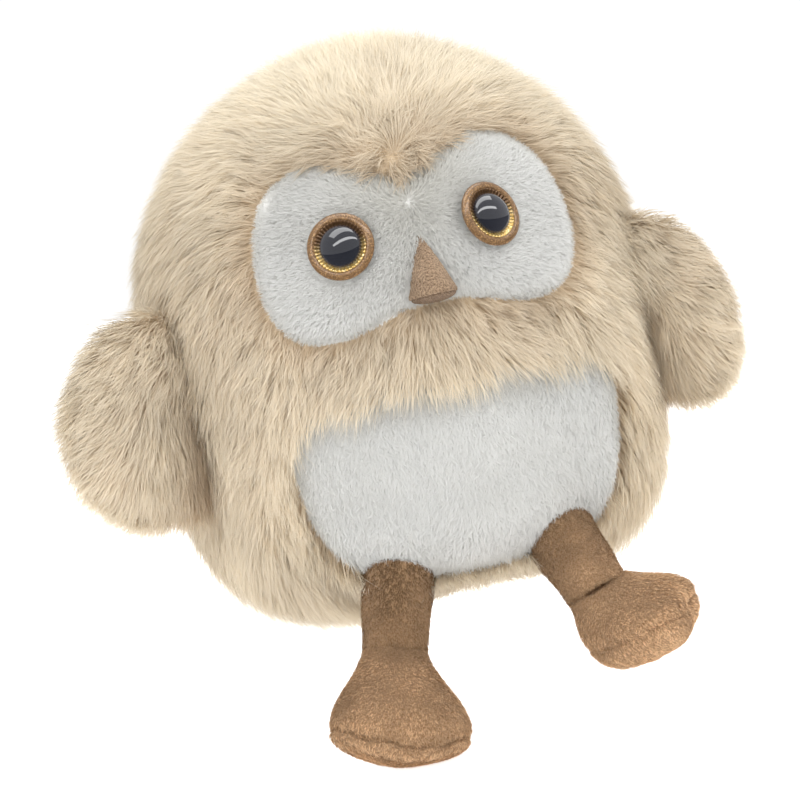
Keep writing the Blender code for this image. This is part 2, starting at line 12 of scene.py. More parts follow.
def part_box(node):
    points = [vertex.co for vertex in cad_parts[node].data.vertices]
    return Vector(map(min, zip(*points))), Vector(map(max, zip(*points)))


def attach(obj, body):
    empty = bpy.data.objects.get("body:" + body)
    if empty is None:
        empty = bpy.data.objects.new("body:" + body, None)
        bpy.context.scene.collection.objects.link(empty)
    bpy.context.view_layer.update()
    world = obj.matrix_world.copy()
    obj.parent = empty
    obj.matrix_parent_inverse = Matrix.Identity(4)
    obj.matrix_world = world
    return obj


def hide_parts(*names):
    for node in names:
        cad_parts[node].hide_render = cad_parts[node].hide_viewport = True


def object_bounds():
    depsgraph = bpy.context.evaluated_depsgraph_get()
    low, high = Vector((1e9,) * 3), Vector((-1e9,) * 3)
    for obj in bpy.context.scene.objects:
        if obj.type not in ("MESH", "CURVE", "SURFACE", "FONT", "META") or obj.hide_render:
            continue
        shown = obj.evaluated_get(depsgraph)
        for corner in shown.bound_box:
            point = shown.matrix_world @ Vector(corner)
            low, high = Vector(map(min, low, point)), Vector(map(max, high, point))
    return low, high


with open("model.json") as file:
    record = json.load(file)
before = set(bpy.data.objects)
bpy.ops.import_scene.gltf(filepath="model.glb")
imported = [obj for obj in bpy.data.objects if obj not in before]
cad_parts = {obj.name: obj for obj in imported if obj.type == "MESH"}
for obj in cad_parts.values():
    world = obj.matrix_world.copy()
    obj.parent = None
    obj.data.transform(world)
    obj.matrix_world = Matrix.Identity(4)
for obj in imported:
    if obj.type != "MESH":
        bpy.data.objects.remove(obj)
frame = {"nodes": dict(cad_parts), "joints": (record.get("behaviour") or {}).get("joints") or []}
CAD_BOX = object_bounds()

MM = 0.001
SEED = 20

# Body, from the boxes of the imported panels. Its section is an ellipse above the waist and fuller below.
SIDE_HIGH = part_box("side_panel_left")[1]
BODY_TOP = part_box("back_panel_left")[1][2]
BODY_RADIUS = SIDE_HIGH[0]
WAIST = BODY_TOP * 0.517
RISE = BODY_TOP - WAIST
DROP = WAIST + 1.5 * MM
FULLNESS = 3.9
DEPTH = 0.95
CLOTH_DEPTH = 1.0 * MM

# Long fur.
PILE = 14.5 * MM
STRANDS_PER_MM2 = 3.95
STRAND_WIDTH = 0.205 * MM
LOCK_SPACING = 5.0 * MM

# Short white plush.
WHITE_PILE = 3.6 * MM
WHITE_PER_MM2 = 9.0
WHITE_WIDTH = 0.20 * MM
WHITE_LOCKS = 2.4 * MM

# Where the long fur parts over the brow.
WHORL = Vector((0, -0.059, 0.128))

# Colours, linear.
ROOT_TAN = (0.67, 0.545, 0.39)
FUR_BEIGE = (0.77, 0.67, 0.515)
FUR_TIP = (0.88, 0.805, 0.67)
# The crown's paler colour: partly the fur's own cream, partly painted light from above.
FUR_CREAM_TOP_LIT = (0.94, 0.87, 0.72)
# The colour the fur turns to as painted shade: in creases, over the brow and along the face's seam.
CREASE_SHADE = (0.44, 0.30, 0.175)
WHITE_ROOT = (0.70, 0.695, 0.665)
WHITE_TIP = (0.76, 0.76, 0.74)
WHITE_SHADE = (0.56, 0.545, 0.49)
NAP_BROWN = (0.72, 0.465, 0.265)
NAP_TIP = (0.93, 0.68, 0.45)
NAP_SHADE = (0.115, 0.064, 0.030)
SUEDE_DARK = (0.30, 0.17, 0.085)
SUEDE_LIGHT = (0.50, 0.31, 0.16)
BACKING = (0.54, 0.42, 0.285), (0.63, 0.51, 0.36)
WHITE_BACKING = (0.64, 0.635, 0.61), (0.70, 0.695, 0.67)
BEAK = (0.16, 0.095, 0.05), (0.58, 0.40, 0.26)
# The underside's darker suede is painted shade under the beak.
BEAK_UNDER_SHADE = (0.12, 0.07, 0.04), (0.30, 0.20, 0.13)

# Share of the light that passes through the pile.
GLOW_THROUGH = 0.36


# ---- node materials


class Look:
    """A node material built step by step."""

    def __init__(self, name):
        self.material = bpy.data.materials.new(name)
        self.material.use_nodes = True
        self.tree = self.material.node_tree
        self.shader = self.tree.nodes["Principled BSDF"]

    def add(self, kind, settings=None, **inputs):
        """A node with its settings, and each input a number, a colour or another node's output."""
        node = self.tree.nodes.new(kind)
        for key, value in (settings or {}).items():
            setattr(node, key, value)
        for key, value in inputs.items():
            self.plug(node, key.replace("_", " "), value)
        return node

    def plug(self, node, key, value):
        socket = node.inputs[key]
        if isinstance(value, bpy.types.NodeSocket):
            self.tree.links.new(value, socket)
        elif isinstance(value, tuple) and len(value) == 3 and socket.type == "RGBA":
            socket.default_value = (*value, 1)
        else:
            socket.default_value = value

    def set(self, **inputs):
        for key, value in inputs.items():
            self.plug(self.shader, key.replace("_", " "), value)

    def attribute(self, name):
        return self.add("ShaderNodeAttribute", {"attribute_name": name}).outputs["Fac"]

    def place(self):
        return self.add("ShaderNodeTexCoord").outputs["Object"]

    def noise(self, scale, detail=3.0, roughness=0.6):
        node = self.add("ShaderNodeTexNoise", Scale=scale, Detail=detail, Roughness=roughness)
        self.plug(node, "Vector", self.place())
        return node.outputs["Fac"]

    def math(self, operation, *values):
        node = self.add("ShaderNodeMath", {"operation": operation})
        for index, value in enumerate(values):
            self.plug(node, index, value)
        return node.outputs[0]

    def ramp(self, value, stops):
        node = self.add("ShaderNodeValToRGB", Fac=value)
        elements = node.color_ramp.elements
        while len(elements) < len(stops):
            elements.new(0.5)
        for element, (position, colour) in zip(elements, stops):
            element.position = position
            element.color = (*colour, 1)
        return node.outputs["Color"]

    def mix(self, share, first, second, blend="MIX"):
        node = self.add("ShaderNodeMix", {"data_type": "RGBA", "blend_type": blend})
        for index, value in ((0, share), (6, first), (7, second)):
            self.plug(node, index, value)
        return node.outputs[2]

    def span(self, value, low, high, to_low=0.0, to_high=1.0):
        """value moved from one range to another, and held inside it."""
        node = self.add("ShaderNodeMapRange", Value=value)
        for index, number in ((1, low), (2, high), (3, to_low), (4, to_high)):
            node.inputs[index].default_value = number
        return node.outputs["Result"]

    def height(self):
        node = self.add("ShaderNodeSeparateXYZ", Vector=self.place())
        return node.outputs["Z"]

    def glow_through(self, share, colour):
        """Lets this share of the light pass through thin fibres."""
        thin = self.add("ShaderNodeBsdfTranslucent", Color=colour)
        both = self.add("ShaderNodeMixShader", Fac=share)
        self.tree.links.new(self.shader.outputs[0], both.inputs[1])
        self.tree.links.new(thin.outputs[0], both.inputs[2])
        self.tree.links.new(both.outputs[0], self.tree.nodes["Material Output"].inputs["Surface"])

    def bump(self, value, depth):
        node = self.add("ShaderNodeBump", Height=value, Distance=depth, Strength=1.0)
        return node.outputs["Normal"]


def fur_look(name, root, body, tip, crown, crease, vary):
    """Strand colour: dark at the root and pale at the tip, paler toward the crown partly as painted light
    from above, turned browner by painted shade where marked, varied by strand.
    """
    look = Look(name)
    along = look.ramp(look.attribute("tip"), [(0.0, root), (0.45, body), (1.0, tip)])
    # Painted light: strands grow paler toward the top of the body, partly their own cream and partly painted
    # light from above.
    lift = look.span(look.height(), BODY_TOP * 0.72, BODY_TOP, 0.0, 0.75)
    colour = look.mix(lift, along, crown)
    # Painted shade: strands turn toward the crease colour where the painted-shade attribute is high.
    colour = look.mix(look.span(look.attribute("tan"), 0.0, 1.0, 0.0, 0.8), colour, crease)
    patch = look.span(look.noise(28.0), 0.35, 0.65, 1 - 0.6 * vary, 1 + 0.4 * vary)
    strand = look.span(look.attribute("shade"), 0.0, 1.0, 1 - vary, 1 + 0.6 * vary)
    shaded = look.mix(1.0, colour, look.math("MULTIPLY", patch, strand), "MULTIPLY")
    look.set(Base_Color=shaded, Roughness=0.9, Specular_IOR_Level=0.1)
    look.glow_through(GLOW_THROUGH, shaded)
    return look.material


def cloth_look(name, low, high):
    """The knitted backing that the pile grows from."""
    look = Look(name)
    colour = look.ramp(look.noise(900.0, 2.0), [(0.3, low), (0.7, high)])
    look.set(Base_Color=colour, Roughness=0.95, Specular_IOR_Level=0.1)
    look.set(Normal=look.bump(look.noise(1400.0, 2.0), 0.3 * MM))
    return look.material


def suede_look(name, dark, light, edge_shade=0.0):
    """Suede: its nap lies different ways in patches, with fine flecks, and may darken where shade is low."""
    look = Look(name)
    nap = look.span(look.noise(110.0, 3.0, 0.6), 0.3, 0.7)
    fleck = look.span(look.noise(1900.0, 3.0, 0.75), 0.36, 0.64)
    grain = look.math("MULTIPLY_ADD", fleck, 0.75, look.math("MULTIPLY", nap, 0.25))
    colour = look.ramp(grain, [(0.15, dark), (0.85, light)])
    if edge_shade:
        edge = look.span(look.attribute("shade"), 0.0, 1.0, 1.0 - edge_shade, 1.0)
        colour = look.mix(1.0, colour, edge, "MULTIPLY")
    look.set(Base_Color=colour, Roughness=0.9, Specular_IOR_Level=0.15)
    look.set(Sheen_Weight=0.3, Sheen_Roughness=0.4, Sheen_Tint=(0.9, 0.75, 0.6))
    look.set(Normal=look.bump(grain, 0.7 * MM))
    return look.material


# ---- numbers in bulk


def unit(rows):
    return rows / np.maximum(np.linalg.norm(rows, axis=1, keepdims=True), 1e-9)


def smoothstep(low, high, value):
    share = np.clip((value - low) / (high - low), 0, 1)
    return share * share * (3 - 2 * share)


def bell(distance, width):
    """1 at no distance, falling to 0 past this width."""
    return np.exp(-((distance / width) ** 2))


def waves(points, size, seed):
    """Smooth noise about 0 and within 1, from a few crossing sine waves of roughly this size."""
    rng = np.random.default_rng(seed)
    total = np.zeros(len(points))
    for _ in range(7):
        heading = unit(rng.normal(size=(1, 3)))[0]
        pitch = tau / size * rng.uniform(0.6, 1.5)
        total += np.sin(points @ heading * pitch + rng.uniform(0, tau))
    return total / 4.0


def inside(outline, x, z):
    """Which points lie inside a closed outline, by counting the edges to one side."""
    hit = np.zeros(len(x), bool)
    for (x0, z0), (x1, z1) in zip(outline, np.roll(outline, -1, axis=0)):
        crosses = (z0 > z) != (z1 > z)
        where = x0 + (z - z0) / (z1 - z0 if z1 != z0 else 1e-12) * (x1 - x0)
        hit ^= crosses & (x < where)
    return hit


def distance_to(outline, x, z):
    """How far each point is from the outline."""
    best = np.full(len(x), 1.0)
    for a, b in zip(outline, np.roll(outline, -1, axis=0)):
        edge = b - a
        share = np.clip(((x - a[0]) * edge[0] + (z - a[1]) * edge[1]) / (edge @ edge + 1e-15), 0, 1)
        best = np.minimum(best, np.hypot(x - a[0] - share * edge[0], z - a[1] - share * edge[1]))
    return best


def smooth_outline(half, narrow, steps=6):
    """A closed Catmull-Rom curve through an outline's left half and its mirror image times narrow."""
    corners = np.array(half + [(-x * narrow, z) for x, z in reversed(half[1:-1])])
    before, after, beyond = (np.roll(corners, k, axis=0) for k in (1, -1, -2))
    curve = []
    for p0, p1, p2, p3 in zip(before, corners, after, beyond):
        for t in np.arange(steps) / steps:
            bend = (2 * p0 - 5 * p1 + 4 * p2 - p3) * t**2
            twist = (3 * p1 - p0 - 3 * p2 + p3) * t**3
            curve.append(0.5 * (2 * p1 + (p2 - p0) * t + bend + twist))
    return np.array(curve) * MM


# Seam lines of the face and the belly seen from the front, in millimetres.
MASK_UPPER = [(0, 120.5), (12, 125.5), (24, 129.5), (35.5, 126.5), (44.5, 117), (48.5, 103)]
MASK_LOWER = [(47.5, 89), (40.5, 80), (27, 78.5), (12.5, 82.5), (0, 84)]
MASK = smooth_outline(MASK_UPPER + MASK_LOWER, 0.95)
BELLY_HALF = [(0, 63), (22, 63), (42, 61), (51, 51), (51.5, 40), (48.5, 25), (39, 12), (21, 7), (0, 5.5)]
BELLY = smooth_outline(BELLY_HALF, 0.93)
CHEST_HALF_WIDTH = 56 * MM
CROWN_HALF_WIDTH = 40 * MM
SIDE_SEAM_Y = 6 * MM
BASE_TOP = 4.5 * MM


# ---- the body's surface


def body_points(azimuth, angle, offset=0.0):
    """Points of the skin. azimuth 0 is straight ahead (-y); angle runs from the seat to the crown."""
    up = np.sin(angle)
    across = np.maximum(np.cos(angle), 0)
    power = 2 / FULLNESS
    radius = (BODY_RADIUS + offset) * np.where(up >= 0, across, across**power)
    height = WAIST + np.where(up >= 0, (RISE + offset) * up, -(DROP + offset) * np.abs(up) ** power)
    height = np.maximum(height, -offset)
    return np.stack([radius * np.sin(azimuth), -radius * np.cos(azimuth) * DEPTH, height], axis=-1)


def body_normals(points):
    """Outward directions of the skin at points on or near it."""
    x, y, z = points[:, 0], points[:, 1] / DEPTH, points[:, 2] - WAIST
    power = np.where(z >= 0, 2.0, FULLNESS)
    tall = np.where(z >= 0, RISE, DROP)
    radius = np.maximum(np.hypot(x, y), 1e-6)
    out = (radius / BODY_RADIUS) ** (power - 1) / BODY_RADIUS
    up = np.sign(z) * (np.abs(z) / tall) ** (power - 1) / tall
    return unit(np.stack([out * x / radius, out * y / radius / DEPTH, up], axis=1))


def skin_front(height):
    """How far forward the skin's middle line is at a height, as a y value."""
    if height >= WAIST:
        radius = BODY_RADIUS * (1 - ((height - WAIST) / RISE) ** 2) ** 0.5
    else:
        radius = BODY_RADIUS * (1 - ((WAIST - height) / DROP) ** FULLNESS) ** (1 / FULLNESS)
    return -radius * DEPTH


def disc_frame(node):
    """Places a flat round CAD piece: its centre, with z along its axis, away from the body's middle."""
    obj = frame["nodes"][node]
    points = np.array([obj.matrix_world @ v.co for v in obj.data.vertices])
    centre = (points.max(0) + points.min(0)) / 2
    spread = np.linalg.eigh(np.cov((points - centre).T))[1]
    axis = Vector(spread[:, 0])
    if axis.dot(Vector(centre) - Vector((0, 0, WAIST))) < 0:
        axis = -axis
    return Vector(centre), axis


EYE_TURN = {"right": radians(-2), "left": radians(10)}
EYE_SINK = {"right": 1.5 * MM, "left": 1.9 * MM}


def eye_seat(side):
    """Where an eye sits and which way it looks: the CAD's place, turned and sunk a little in the pile."""
    centre, axis = disc_frame("eye_iris_" + side)
    axis = Matrix.Rotation(EYE_TURN[side], 3, "Z") @ axis
    return centre - axis * EYE_SINK[side], axis


EYES = {side: eye_seat(side) for side in ("right", "left")}


def sculpt_body(points):
    """The skin's relief: eye dimples, a sunken seam round the face, a full belly and gentle waves all over.
    """
    normal = body_normals(points)
    x, z = points[:, 0], points[:, 2]
    front = points[:, 1] < 0
    lift = np.zeros(len(points))
    seam = distance_to(MASK, x, z)
    lift -= front * 1.6 * MM * bell(seam, 3 * MM)
    belly_seam = distance_to(BELLY, x, z)
    within = inside(BELLY, x, z)
    lift += front * within * 3.2 * MM * smoothstep(0, 16 * MM, belly_seam)
    low_belly = within * smoothstep(34 * MM, 14 * MM, z) * smoothstep(0, 3 * MM, belly_seam)
    lift += front * low_belly * 4.5 * MM
    lift += 0.9 * MM * waves(points, 60 * MM, SEED)
    points = points + normal * lift[:, None]
    for centre, axis in EYES.values():
        from_eye = points - np.array(centre)
        above = from_eye @ np.array(axis)
        away = np.linalg.norm(from_eye - above[:, None] * np.array(axis), axis=1)
        near = (np.linalg.norm(from_eye, axis=1) < 25 * MM) * (1 - smoothstep(9 * MM, 17 * MM, away))
        points = points - np.array(axis) * (np.maximum(above + 0.8 * MM, 0) * near)[:, None]
    return points


# ---- meshes


def to_mesh(name, points, faces, materials, slots=None, attributes=None, uv=None, normals=None):
    """A smooth mesh object from arrays: points, lists of faces, a slot per face and point attributes."""
    mesh = bpy.data.meshes.new(name)
    counts = np.concatenate([np.full(len(f), f.shape[1], np.int32) for f in faces])
    loops = np.concatenate([f.reshape(-1) for f in faces]).astype(np.int32)
    mesh.vertices.add(len(points))
    mesh.vertices.foreach_set("co", points.astype(np.float32).reshape(-1))
    mesh.loops.add(len(loops))
    mesh.loops.foreach_set("vertex_index", loops)
    mesh.polygons.add(len(counts))
    starts = np.concatenate([[0], np.cumsum(counts)[:-1]])
    mesh.polygons.foreach_set("loop_start", starts.astype(np.int32))
    mesh.polygons.foreach_set("loop_total", counts)
    mesh.polygons.foreach_set("use_smooth", np.ones(len(counts), bool))
    if slots is not None:
        mesh.polygons.foreach_set("material_index", slots.astype(np.int32))
    for key, values in (attributes or {}).items():
        mesh.attributes.new(key, "FLOAT", "POINT").data.foreach_set("value", values.astype(np.float32))
    if uv is not None:
        layer = mesh.uv_layers.new(name="OFBake")
        layer.data.foreach_set("uv", uv[loops].astype(np.float32).reshape(-1))
    mesh.update()
    mesh.validate()
    if normals is not None:
        mesh.attributes.new("custom_normal", "FLOAT_VECTOR", "POINT").data.foreach_set(
            "vector", normals.astype(np.float32).reshape(-1)
        )
    for material in materials:
        mesh.materials.append(material)
    obj = bpy.data.objects.new(name, mesh)
    bpy.context.scene.collection.objects.link(obj)
    return obj


def ride_and_replace(obj, body, *nodes):
    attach(obj, body)
    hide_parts(*nodes)


def ring_angles(columns):
    """Evenly spaced directions round a ring."""
    return np.arange(columns) / columns * tau


def grid_faces(rows, columns):
    """Quads of a grid whose points run along each row, the last column joined to the first."""
    row, column = np.meshgrid(np.arange(rows - 1), np.arange(columns), indexing="ij")
    row, column = row.reshape(-1) * columns, column.reshape(-1)
    after = (column + 1) % columns
    return np.stack([row + column, row + after, row + columns + after, row + columns + column], 1)


def split_quads(quads):
    return np.concatenate([quads[:, [0, 1, 2]], quads[:, [0, 2, 3]]])


def scatter(points, quads, per_mm2, rng):
    """Random points spread evenly by area over a skin, with their directions out of it."""
    tris = split_quads(quads)
    a, b, c = points[tris[:, 0]], points[tris[:, 1]], points[tris[:, 2]]
    cross = np.cross(b - a, c - a)
    area = np.linalg.norm(cross, axis=1) / 2
    count = int(area.sum() / MM**2 * per_mm2)
    pick = rng.choice(len(tris), count, p=area / area.sum())
    u, v = rng.random(count), rng.random(count)
    fold = u + v > 1
    u[fold], v[fold] = 1 - u[fold], 1 - v[fold]
    roots = a[pick] + (b - a)[pick] * u[:, None] + (c - a)[pick] * v[:, None]
    return roots, unit(cross[pick])


# How far each half of a strand is drawn to the middle of its lock.
LOCK_PULL = (0.30, 0.62)
# Each half of a strand: its share of the length, and how much of the lift it keeps.
BENDS = ((0.52, 1.0), (0.48, 0.42))
STRAND_POINTS = 5
ALONG = (0.0, 0.0, 0.52, 0.52, 1.0)
SOFT_NORMAL = 0.75
# Three large primes that give each cell of space its own number.
CELL_PRIMES = (73856093, 19349663, 83492791)


def strands(roots, normals, flow, length, lift, width, spacing, rng, pull=1.0, ripple=0.22):
    """Tapered ribbons that leave the skin at lift radians, bend over along flow and gather into locks.

    Returns points, quads, triangles, each point's place along its strand, its shade and its soft normal.
    """
    count = len(roots)
    flow = unit(flow - normals * np.sum(flow * normals, axis=1, keepdims=True))
    side = np.cross(normals, flow)
    sway = rng.normal(0, ripple, count) + 0.40 * waves(roots, 26 * MM, SEED + 3)
    flow = unit(flow * np.cos(sway)[:, None] + side * np.sin(sway)[:, None])
    length = length * rng.uniform(0.72, 1.12, count)
    rise = lift + rng.normal(0, 0.13, count)
    tree, centres = lock_tree(roots, spacing, rng)
    lock = np.array([tree.find(p)[1] for p in roots])
    gather = centres[lock] - roots
    gather -= normals * np.sum(gather * normals, axis=1, keepdims=True)
    spine = [roots]
    for (step, ease), share in zip(BENDS, LOCK_PULL):
        angle = np.clip(rise * ease, 0.02, 1.4)
        heading = flow * np.cos(angle)[:, None] + normals * np.sin(angle)[:, None]
        spine.append(spine[-1] + heading * (length * step)[:, None] + gather * share * pull)
    across = unit(np.cross(flow, normals))
    roll = rng.uniform(-0.8, 0.8, count)
    across = across * np.cos(roll)[:, None] + normals * np.sin(roll)[:, None]
    half = across * (width * rng.uniform(0.7, 1.25, count) / 2)[:, None]
    middle = half * 0.8
    foot, knee, tip = spine
    points = np.stack([foot - half, foot + half, knee - middle, knee + middle, tip], axis=1)
    base = np.arange(count)[:, None] * STRAND_POINTS
    quads = base + np.array([[0, 1, 3, 2]])
    tips = base + np.array([[2, 3, 4]])
    along = np.tile(ALONG, count)
    lock_shade = rng.random(len(centres))[lock]
    shade = np.repeat(0.7 * rng.random(count) + 0.3 * lock_shade, STRAND_POINTS)
    tangent = unit(spine[2] - spine[0])
    outer = unit(normals - tangent * np.sum(normals * tangent, axis=1, keepdims=True))
    soft = unit(normals * SOFT_NORMAL + outer * (1 - SOFT_NORMAL) + side * rng.normal(0, 0.16, (count, 1)))
    return points.reshape(-1, 3), quads, tips, along, shade, np.repeat(soft, STRAND_POINTS, axis=0)


def lock_tree(roots, spacing, rng):
    """Lock centres, one for each cell of this spacing, chosen among the roots."""
    cells = np.floor(roots / spacing).astype(int)
    _, first = np.unique(cells @ np.array(CELL_PRIMES), return_index=True)
    centres = roots[first] + rng.normal(0, spacing * 0.2, (len(first), 3))
    tree = KDTree(len(centres))
    for index, centre in enumerate(centres):
        tree.insert(centre, index)
    tree.balance()
    return tree, centres


BAND_ROWS = 32
BODY_CHART = (Matrix.Identity(4), CAD_BOX[0][2], CAD_BOX[1][2])


def moved(points, place):
    turn = np.array(place.to_3x3())
    return points @ turn.T + np.array(place.translation)


def map_place(points, chart):
    """(place round the chart's z axis from 0 to 1, height in bands) of points, for the flat map."""
    frame_of_map, low, high = chart
    local = moved(points, frame_of_map.inverted())
    turn = 0.004 + 0.992 * (np.arctan2(local[:, 0], local[:, 1]) / tau + 0.5)
    return turn, np.clip((local[:, 2] - low) / (high - low), 0, 0.999) * BAND_ROWS


def strand_map(roots, along, chart):
    """A flat map for the pile: across it goes round the piece, up it goes in bands of height, root to tip."""
    turn, band = map_place(roots, chart)
    u = np.repeat(turn, STRAND_POINTS) + np.tile([-0.0008, 0.0008, -0.0006, 0.0006, 0.0], len(roots))
    v = (np.repeat(np.floor(band), STRAND_POINTS) + 0.15 + 0.75 * along) / BAND_ROWS
    return np.stack([u, v], 1)


def skin_map(skin, chart):
    """The backing's place on the same map: a thin line at the foot of each band."""
    turn, band = map_place(skin, chart)
    return np.stack([turn, (np.floor(band) + 0.02 + 0.05 * (band % 1)) / BAND_ROWS], 1)


def skin_normals(points, quads):
    """Each point's normal, averaged over its faces."""
    diagonals = points[quads[:, 2]] - points[quads[:, 0]], points[quads[:, 3]] - points[quads[:, 1]]
    cross = np.cross(*diagonals)
    total = np.zeros_like(points)
    for corner in range(4):
        np.add.at(total, quads[:, corner], cross)
    return unit(total)


def furry_piece(name, skin_points, skin_quads, grown, roots, tan, looks, body, nodes, chart=BODY_CHART):
    """One piece: its cloth and the pile that grows from it."""
    pile, quads, tips, along, shade, soft = grown
    used, remap = np.unique(skin_quads, return_inverse=True)
    skin = skin_points[used]
    skin_quads = remap.reshape(-1, 4)
    shift = len(skin)
    points = np.concatenate([skin, pile])
    faces = [skin_quads, quads + shift, tips + shift]
    slots = np.concatenate([np.zeros(len(skin_quads)), np.ones(len(quads) + len(tips))])
    attributes = {
        "tip": np.concatenate([np.zeros(shift), along]),
        "shade": np.concatenate([np.full(shift, 0.5), shade]),
        "tan": np.concatenate([np.zeros(shift), np.repeat(tan, STRAND_POINTS)]),
    }
    uv = np.concatenate([skin_map(skin, chart), strand_map(roots, along, chart)])
    normals = np.concatenate([skin_normals(skin, skin_quads), soft])
    obj = to_mesh(name, points, faces, looks, slots, attributes, uv, normals)
    ride_and_replace(obj, body, *nodes)


# ---- body, face and belly


SKIN_COLUMNS = 200
SKIN_ROWS = 130
# The panels of the body, numbered.
FACE, FRONT, CHEST, CROWN, SIDE_RIGHT, SIDE_LEFT, BACK_RIGHT, BACK_LEFT, BASE = range(9)


def panel_of(points):
    """The panel each point belongs to."""
    x, y, z = points[:, 0], points[:, 1], points[:, 2]
    ahead = y < SIDE_SEAM_Y
    left = x > 0
    panel = np.where(ahead, np.where(left, SIDE_LEFT, SIDE_RIGHT), np.where(left, BACK_LEFT, BACK_RIGHT))
    panel[ahead & (z > 120 * MM) & (np.abs(x) < CROWN_HALF_WIDTH)] = CROWN
    chest = (z > 50 * MM) & (z < 94 * MM) & (np.abs(x) < CHEST_HALF_WIDTH) & (y < -20 * MM)
    panel[chest] = CHEST
    panel[z < BASE_TOP] = BASE
    panel[(y < 0) & inside(BELLY, x, z)] = FRONT
    panel[(y < 0) & inside(MASK, x, z)] = FACE
    return panel


PANELS = {
    CHEST: ("fur_chest", "chest_band"),
    CROWN: ("fur_crown", "crown_panel"),
    SIDE_RIGHT: ("fur_side_right", "side_panel_right"),
    SIDE_LEFT: ("fur_side_left", "side_panel_left"),
    BACK_RIGHT: ("fur_back_right", "back_panel_right"),
    BACK_LEFT: ("fur_back_left", "back_panel_left"),
    BASE: ("fur_base", "base_panel"),
}


def body_skin():
    """The body's cloth as a grid whose rows are evenly spaced along the outline."""
    fine = np.linspace(-pi / 2 + 0.002, pi / 2 - 0.002, 6000)
    outline = body_points(np.zeros(len(fine)), fine)
    travelled = np.concatenate([[0], np.cumsum(np.linalg.norm(np.diff(outline, axis=0), axis=1))])
    angle = np.interp(np.linspace(0, travelled[-1], SKIN_ROWS), travelled, fine)
    turn, rise = np.meshgrid(ring_angles(SKIN_COLUMNS), angle)
    points = body_points(turn.reshape(-1), rise.reshape(-1), -CLOTH_DEPTH)
    quads = grid_faces(SKIN_ROWS, SKIN_COLUMNS)
    return sculpt_body(points), quads


def body_flow(roots, rng):
    """Which way the long fur lies: out from a loose whorl at the brow, turning to straight down lower."""
    x, y, z = roots.T
    from_whorl = roots - np.array(WHORL)
    away = np.linalg.norm(from_whorl, axis=1)
    back = 0.6 * smoothstep(115 * MM, 150 * MM, z)
    down = np.stack([np.zeros(len(roots)), back, np.full(len(roots), -1.0)], 1)
    outward = unit(roots * np.array([1.0, 0.4, 0.0]))
    lower = smoothstep(34 * MM, 84 * MM, away)[:, None]
    above = smoothstep(WHORL.z - 16 * MM, WHORL.z + 26 * MM, z)[:, None]
    lower = lower * (1 - above * smoothstep(50 * MM, -40 * MM, y)[:, None])
    flow = unit(from_whorl) * (1 - lower) + (down + 0.20 * outward) * lower
    under_face = bell(z - 72 * MM, 16 * MM) * (y < 0)
    flow = flow + outward * (np.where(x > 0, 0.75, 0.35) * under_face)[:, None]
    tousled = bell(away, 25 * MM)[:, None]
    clump = np.stack([waves(roots, 9 * MM, SEED + k) for k in (5, 6, 7)], 1)
    flow = flow + tousled * (1.5 * clump + rng.normal(0, 0.35, roots.shape))
    under = smoothstep(0.6 * MM, -0.4 * MM, z)[:, None]
    return flow * (1 - under) + outward * under


def body_pile(roots):
    """How long the fur is: shorter beside the face, longest where it hangs from the lower sides."""
    x, y, z = roots.T
    length = np.full(len(roots), PILE)
    near_mask = distance_to(MASK, x, z) + (y > 0)
    length *= 0.60 + 0.40 * smoothstep(0, 13 * MM, near_mask)
    near_belly = distance_to(BELLY, x, z) + (y > 0) + (z > 45 * MM)
    length *= 0.70 + 0.30 * smoothstep(0, 10 * MM, near_belly)
    aside = smoothstep(20 * MM, 50 * MM, np.hypot(x, np.maximum(y, 0)))
    length *= 1 + 0.45 * aside * smoothstep(44 * MM, 12 * MM, z)
    length *= 1 - 0.50 * smoothstep(0.6 * MM, -0.4 * MM, z)
    length *= 1 + 0.35 * smoothstep(8 * MM, 4 * MM, z) * smoothstep(-20 * MM, -40 * MM, y)
    return length


def body_shade_and_tone(roots):
    """Where the fur is painted browner as shade: over the brow, under the face, and in the creases at the
    wings, with some random tone.
    """
    x, y, z = roots.T
    brow = np.linalg.norm((roots - np.array(WHORL)) / np.array([1.3, 1, 0.8]), axis=1)
    tan = 0.30 * bell(brow, 15 * MM) + 0.30 * (y < 0) * bell(distance_to(MASK, x, z), 4.5 * MM)
    for side in ("right", "left"):
        seam = np.array(joint("wing_flap_" + side)["pos_m"])
        tall = np.exp(-(((z - seam[2] + 12 * MM) / (18 * MM)) ** 4))
        tan = tan + 0.6 * tall * bell(np.hypot(x - seam[0], y - seam[1]), 8 * MM)
    return np.clip(tan + 0.16 * waves(roots, 34 * MM, SEED + 8), 0, 1)


